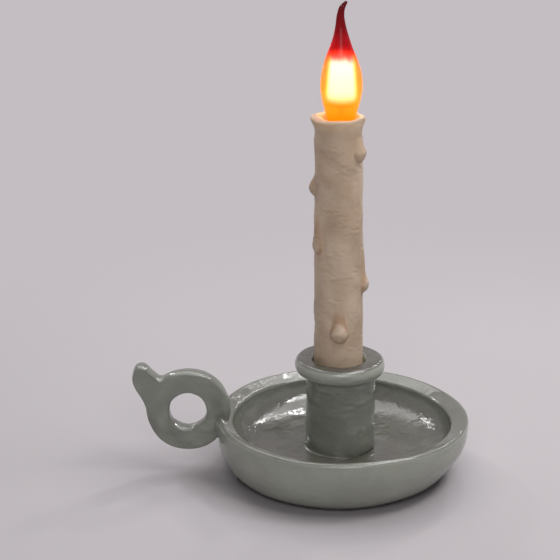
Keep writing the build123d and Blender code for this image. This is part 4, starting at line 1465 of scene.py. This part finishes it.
@dataclass
class FlameLamp:
    """Flame-shaped lamp: a thin glass shell with a solid, bent tail. Sizes are in millimetres."""

    cap_top: float = 294.0
    wall: float = 1.0
    hollow_to: float = 64.0
    dome_height: float = 9.0
    tip_height: float = 1.4
    core_heights: Pair = (20.2, 58.0)
    core_radii: Pair = (11.2, 8.6)
    core_round: float = 2.5
    core_flat: float = 0.4
    core_pitch: float = 1.5
    core_round_pitch: float = 0.5
    halo_gap: float = 1.7
    columns: int = 96
    core_columns: int = 64
    dome_rings: int = 16
    inner_rings: int = 60
    outer_rings: int = 120
    tip_rings: int = 10

    # Height over the cap, radius, shift along X and lean in degrees along the flame's middle line
    heights: tuple[float, ...] = (0, 10, 21, 34, 45, 55, 64, 73, 82, 90, 96, 99.2)
    radii: tuple[float, ...] = (8.2, 11.6, 14.7, 16.6, 15.4, 12.6, 9.1, 6.1, 4.0, 2.9, 2.2, 1.3)
    shifts: tuple[float, ...] = (0, 0, 0, 0, 0, -0.4, -0.6, -0.8, -1.2, -1.2, 0.3, 2.6)
    leans: tuple[float, ...] = (0, 0, 0, 0, 0, 0, 0, -3, -3, 8, 30, 48)

    def rings(self, height: Array, thinner: Array, slide: Array) -> Array:
        """Rings round the flame's bent middle line.

        Each ring lies at (shift, 0, cap + height), leans about Y, and slides along its own axis.

        Args:
            height: Height of each ring over the cap.
            thinner: How much smaller each ring is than the flame.
            slide: How far each ring is moved along its axis.

        Returns:
            Points, rings by columns by 3.
        """
        angle = turn_angles(self.columns)[None, :]
        radius = np.maximum(curve_through(height, self.heights, self.radii) - thinner, 0)[:, None]
        shift = curve_through(height, self.heights, self.shifts)[:, None]
        lean = np.radians(curve_through(height, self.heights, self.leans))[:, None]
        across = radius * np.cos(angle)
        x = shift + across * np.cos(lean) + slide[:, None] * np.sin(lean)
        z = self.cap_top + height[:, None] - across * np.sin(lean) + slide[:, None] * np.cos(lean)
        return np.stack((x, radius * np.sin(angle), z), -1)

    def build(self) -> None:
        """Make the glass: rings down the inner wall, over the neck's edge and up the outside to the tip."""
        share = np.linspace(1, 0, self.dome_rings)
        peak = self.hollow_to + self.dome_height * share
        room = curve_through(peak, self.heights, self.radii) - self.wall
        dome = (peak, self.wall + room * share**2, np.zeros(len(peak)))
        down = np.linspace(self.hollow_to, 0, self.inner_rings)[1:]
        inner = (down, np.full(len(down), self.wall), np.zeros(len(down)))
        up = np.linspace(0, self.heights[-1], self.outer_rings)
        outer = (up, np.zeros(len(up)), np.zeros(len(up)))
        turn = np.linspace(0, math.pi / 2, self.tip_rings)[1:]
        thinner = self.radii[-1] * (1 - np.cos(turn))
        tip = (np.full(len(turn), self.heights[-1]), thinner, self.tip_height * np.sin(turn))
        height, thinner, slide = (np.concatenate(parts) for parts in zip(dome, inner, outer, tip))
        piece = grid_mesh("flame_shell", self.rings(height, thinner, slide), Closing.POLES)
        put(piece, "bulb", "flame_glass", ("bulb_glass",))
        self.build_light("light_core", 0.0, SLOT_FINISHES["phosphor"])
        self.build_light("light_halo", self.halo_gap, HALO)

    def build_light(self, name: str, grow: float, finish: Finish) -> None:
        """Make light round the filaments: a tapering post with rounded ends, turned about the axis.

        Args:
            name: Name of the piece.
            grow: How much bigger it is than the core, on every side.
            finish: Finish of the piece.
        """
        low = self.core_heights[0] - grow
        high = self.core_heights[1] + grow
        wide = self.core_radii[0] + grow
        narrow = self.core_radii[1] + grow
        turn = self.core_round
        outline = np.vstack((
            ((0.0, low), (wide * self.core_flat, low)),
            arc((wide - turn, low + turn), (turn, turn), -90, 90, self.core_round_pitch),
            line((wide, low + turn), (narrow, high - turn), self.core_pitch),
            arc((narrow - turn, high - turn), (turn, turn), 0, 90, self.core_round_pitch),
            ((narrow * self.core_flat, high), (0.0, high)),
        ))
        angle = turn_angles(self.core_columns)[None, :]
        points = round_axis(outline[:, :1], self.cap_top + outline[:, 1:], angle)
        put(grid_mesh(name, points, Closing.POLES), "bulb", "phosphor", finish=finish)


# Carried-over nodes


class InnerWorks:
    """Nodes that keep their own shape and get a better finish."""

    def dress(self) -> None:
        """Give every node the finish of its material slot."""
        for part in frame["record"]["subparts"]:
            node = frame["nodes"][part["node"]]
            for holder in node.material_slots:
                holder.material = SLOT_FINISHES[part["material_slot"]].material()
            log.info("%s: finish %s", part["node"], part["material_slot"])


# Studio


@dataclass(frozen=True)
class SoftLight:
    """An area light: where it stands, the height on the axis that it faces, its sides and its power."""

    place: Triple
    aim: float
    width: float
    depth: float
    power: float


class StudioLight(Enum):
    """Soft lights of the studio."""

    TOP = SoftLight((0.05, 0.60, 1.60), 0.05, 2.10, 1.50, 22.0)
    HIGH = SoftLight((0.18, -0.42, 1.75), 0.10, 1.00, 0.90, 3.0)
    FRONT = SoftLight((-0.05, -1.35, 0.95), 0.15, 0.80, 0.60, 6.3)
    LEFT_BACK = SoftLight((-0.64, 0.90, 0.76), 0.04, 0.08, 0.08, 1.6)
    RIGHT_BACK = SoftLight((0.52, 0.88, 0.80), 0.04, 0.08, 0.08, 1.6)
    HIGH_BACK = SoftLight((0.30, 0.94, 1.44), 0.04, 0.10, 0.10, 2.0)
    RIGHT_FRONT = SoftLight((0.72, -0.36, 1.66), 0.10, 1.10, 0.36, 9.5)
    WINDOW = SoftLight((0.95, -0.10, 1.45), 0.10, 0.40, 0.09, 3.2)


@dataclass
class Studio:
    """Pale floor, soft lights and the camera, in metres and degrees."""

    backdrop: Colour = (0.552, 0.515, 0.539)
    floor_half: float = 6.0
    world_light: float = 0.02
    paper: Colour = (0.452, 0.423, 0.442)
    grain_share: float = 0.06
    shadow_near: float = 0.34
    shadow_far: float = 0.75
    camera_place: Triple = (-0.048, -1.4015, 0.6499)
    camera_pitch: float = 19.0
    sensor_width: float = 36.0
    focal_pixels: float = 1830.0
    frame_pixels: float = 560.0

    def build_floor(self) -> None:
        """Make the floor: it takes the object's shadow nearby and fades to the backdrop's colour."""
        half = self.floor_half
        mesh = bpy.data.meshes.new("floor")
        corners = ((-half, -half, 0), (half, -half, 0), (half, half, 0), (-half, half, 0))
        mesh.from_pydata(corners, [], [(0, 1, 2, 3)])
        floor = bpy.data.objects.new("floor", mesh)
        bpy.context.scene.collection.objects.link(floor)
        paper = bpy.data.materials.new("studio_paper")
        tree = Tree(paper)
        x, y, _ = tree.axes()
        away = (x * x + y * y) ** 0.5
        grain = tree.noise(900, 2)
        colour = tree.mix(grain * self.grain_share, self.paper, self.backdrop)
        lit = tree.out(tree.add("ShaderNodeBsdfDiffuse", {}, {"Color": colour}))
        flat = tree.out(tree.add("ShaderNodeEmission", {}, {"Color": (*self.backdrop, 1.0)}))
        share = tree.step(away, self.shadow_near, self.shadow_far)
        tree.end(tree.out(tree.add("ShaderNodeMixShader", {}, {0: share, 1: lit, 2: flat})))
        mesh.materials.append(paper)

    def build_world(self) -> None:
        """Make the world: an even pale light, and the backdrop's colour where it is seen or mirrored."""
        world = bpy.data.worlds.new("studio")
        bpy.context.scene.world = world
        tree = Tree(world)
        path = tree.add("ShaderNodeLightPath")
        seen = tree.out(path, "Is Camera Ray").at_least(tree.out(path, "Is Glossy Ray"))
        seen = seen.at_least(tree.out(path, "Is Transmission Ray"))
        light = tree.mix(seen, (self.world_light,) * 3, self.backdrop)
        background = tree.add("ShaderNodeBackground", {}, {"Color": light})
        tree.end(tree.out(background), "ShaderNodeOutputWorld")

    def build_lights(self) -> None:
        """Make the soft lights, each turned to face its point on the lamp's axis."""
        for choice in StudioLight:
            soft = choice.value
            name = choice.name.lower()
            data = bpy.data.lights.new(name, "AREA")
            data.shape = "RECTANGLE"
            data.size = soft.width
            data.size_y = soft.depth
            data.energy = soft.power
            light = bpy.data.objects.new(name, data)
            x, y, z = soft.place
            light.location = soft.place
            light.rotation_euler = (math.atan2(math.hypot(x, y), z - soft.aim), 0.0, math.atan2(x, -y))
            bpy.context.scene.collection.objects.link(light)

    def build_camera(self) -> None:
        """Make the camera at the photograph's viewing angle."""
        data = bpy.data.cameras.new("camera")
        data.sensor_width = self.sensor_width
        data.lens = data.sensor_width * self.focal_pixels / self.frame_pixels
        camera = bpy.data.objects.new("camera", data)
        camera.location = self.camera_place
        camera.rotation_euler = (math.radians(90 - self.camera_pitch), 0.0, 0.0)
        bpy.context.scene.collection.objects.link(camera)
        bpy.context.scene.camera = camera

    def build(self) -> None:
        """Make the whole studio."""
        bpy.context.scene.view_settings.view_transform = "Standard"
        self.build_floor()
        self.build_world()
        self.build_lights()
        self.build_camera()


def main() -> None:
    """Build and dress the lamp and its studio."""
    logging.basicConfig(level=logging.INFO, format="%(name)s: %(message)s")
    Studio().build()
    InnerWorks().dress()
    Dish().build()
    FingerHandle().build()
    CandleCup().build()
    Candle().build()
    FlameLamp().build()


if __name__ == "__main__":
    main()
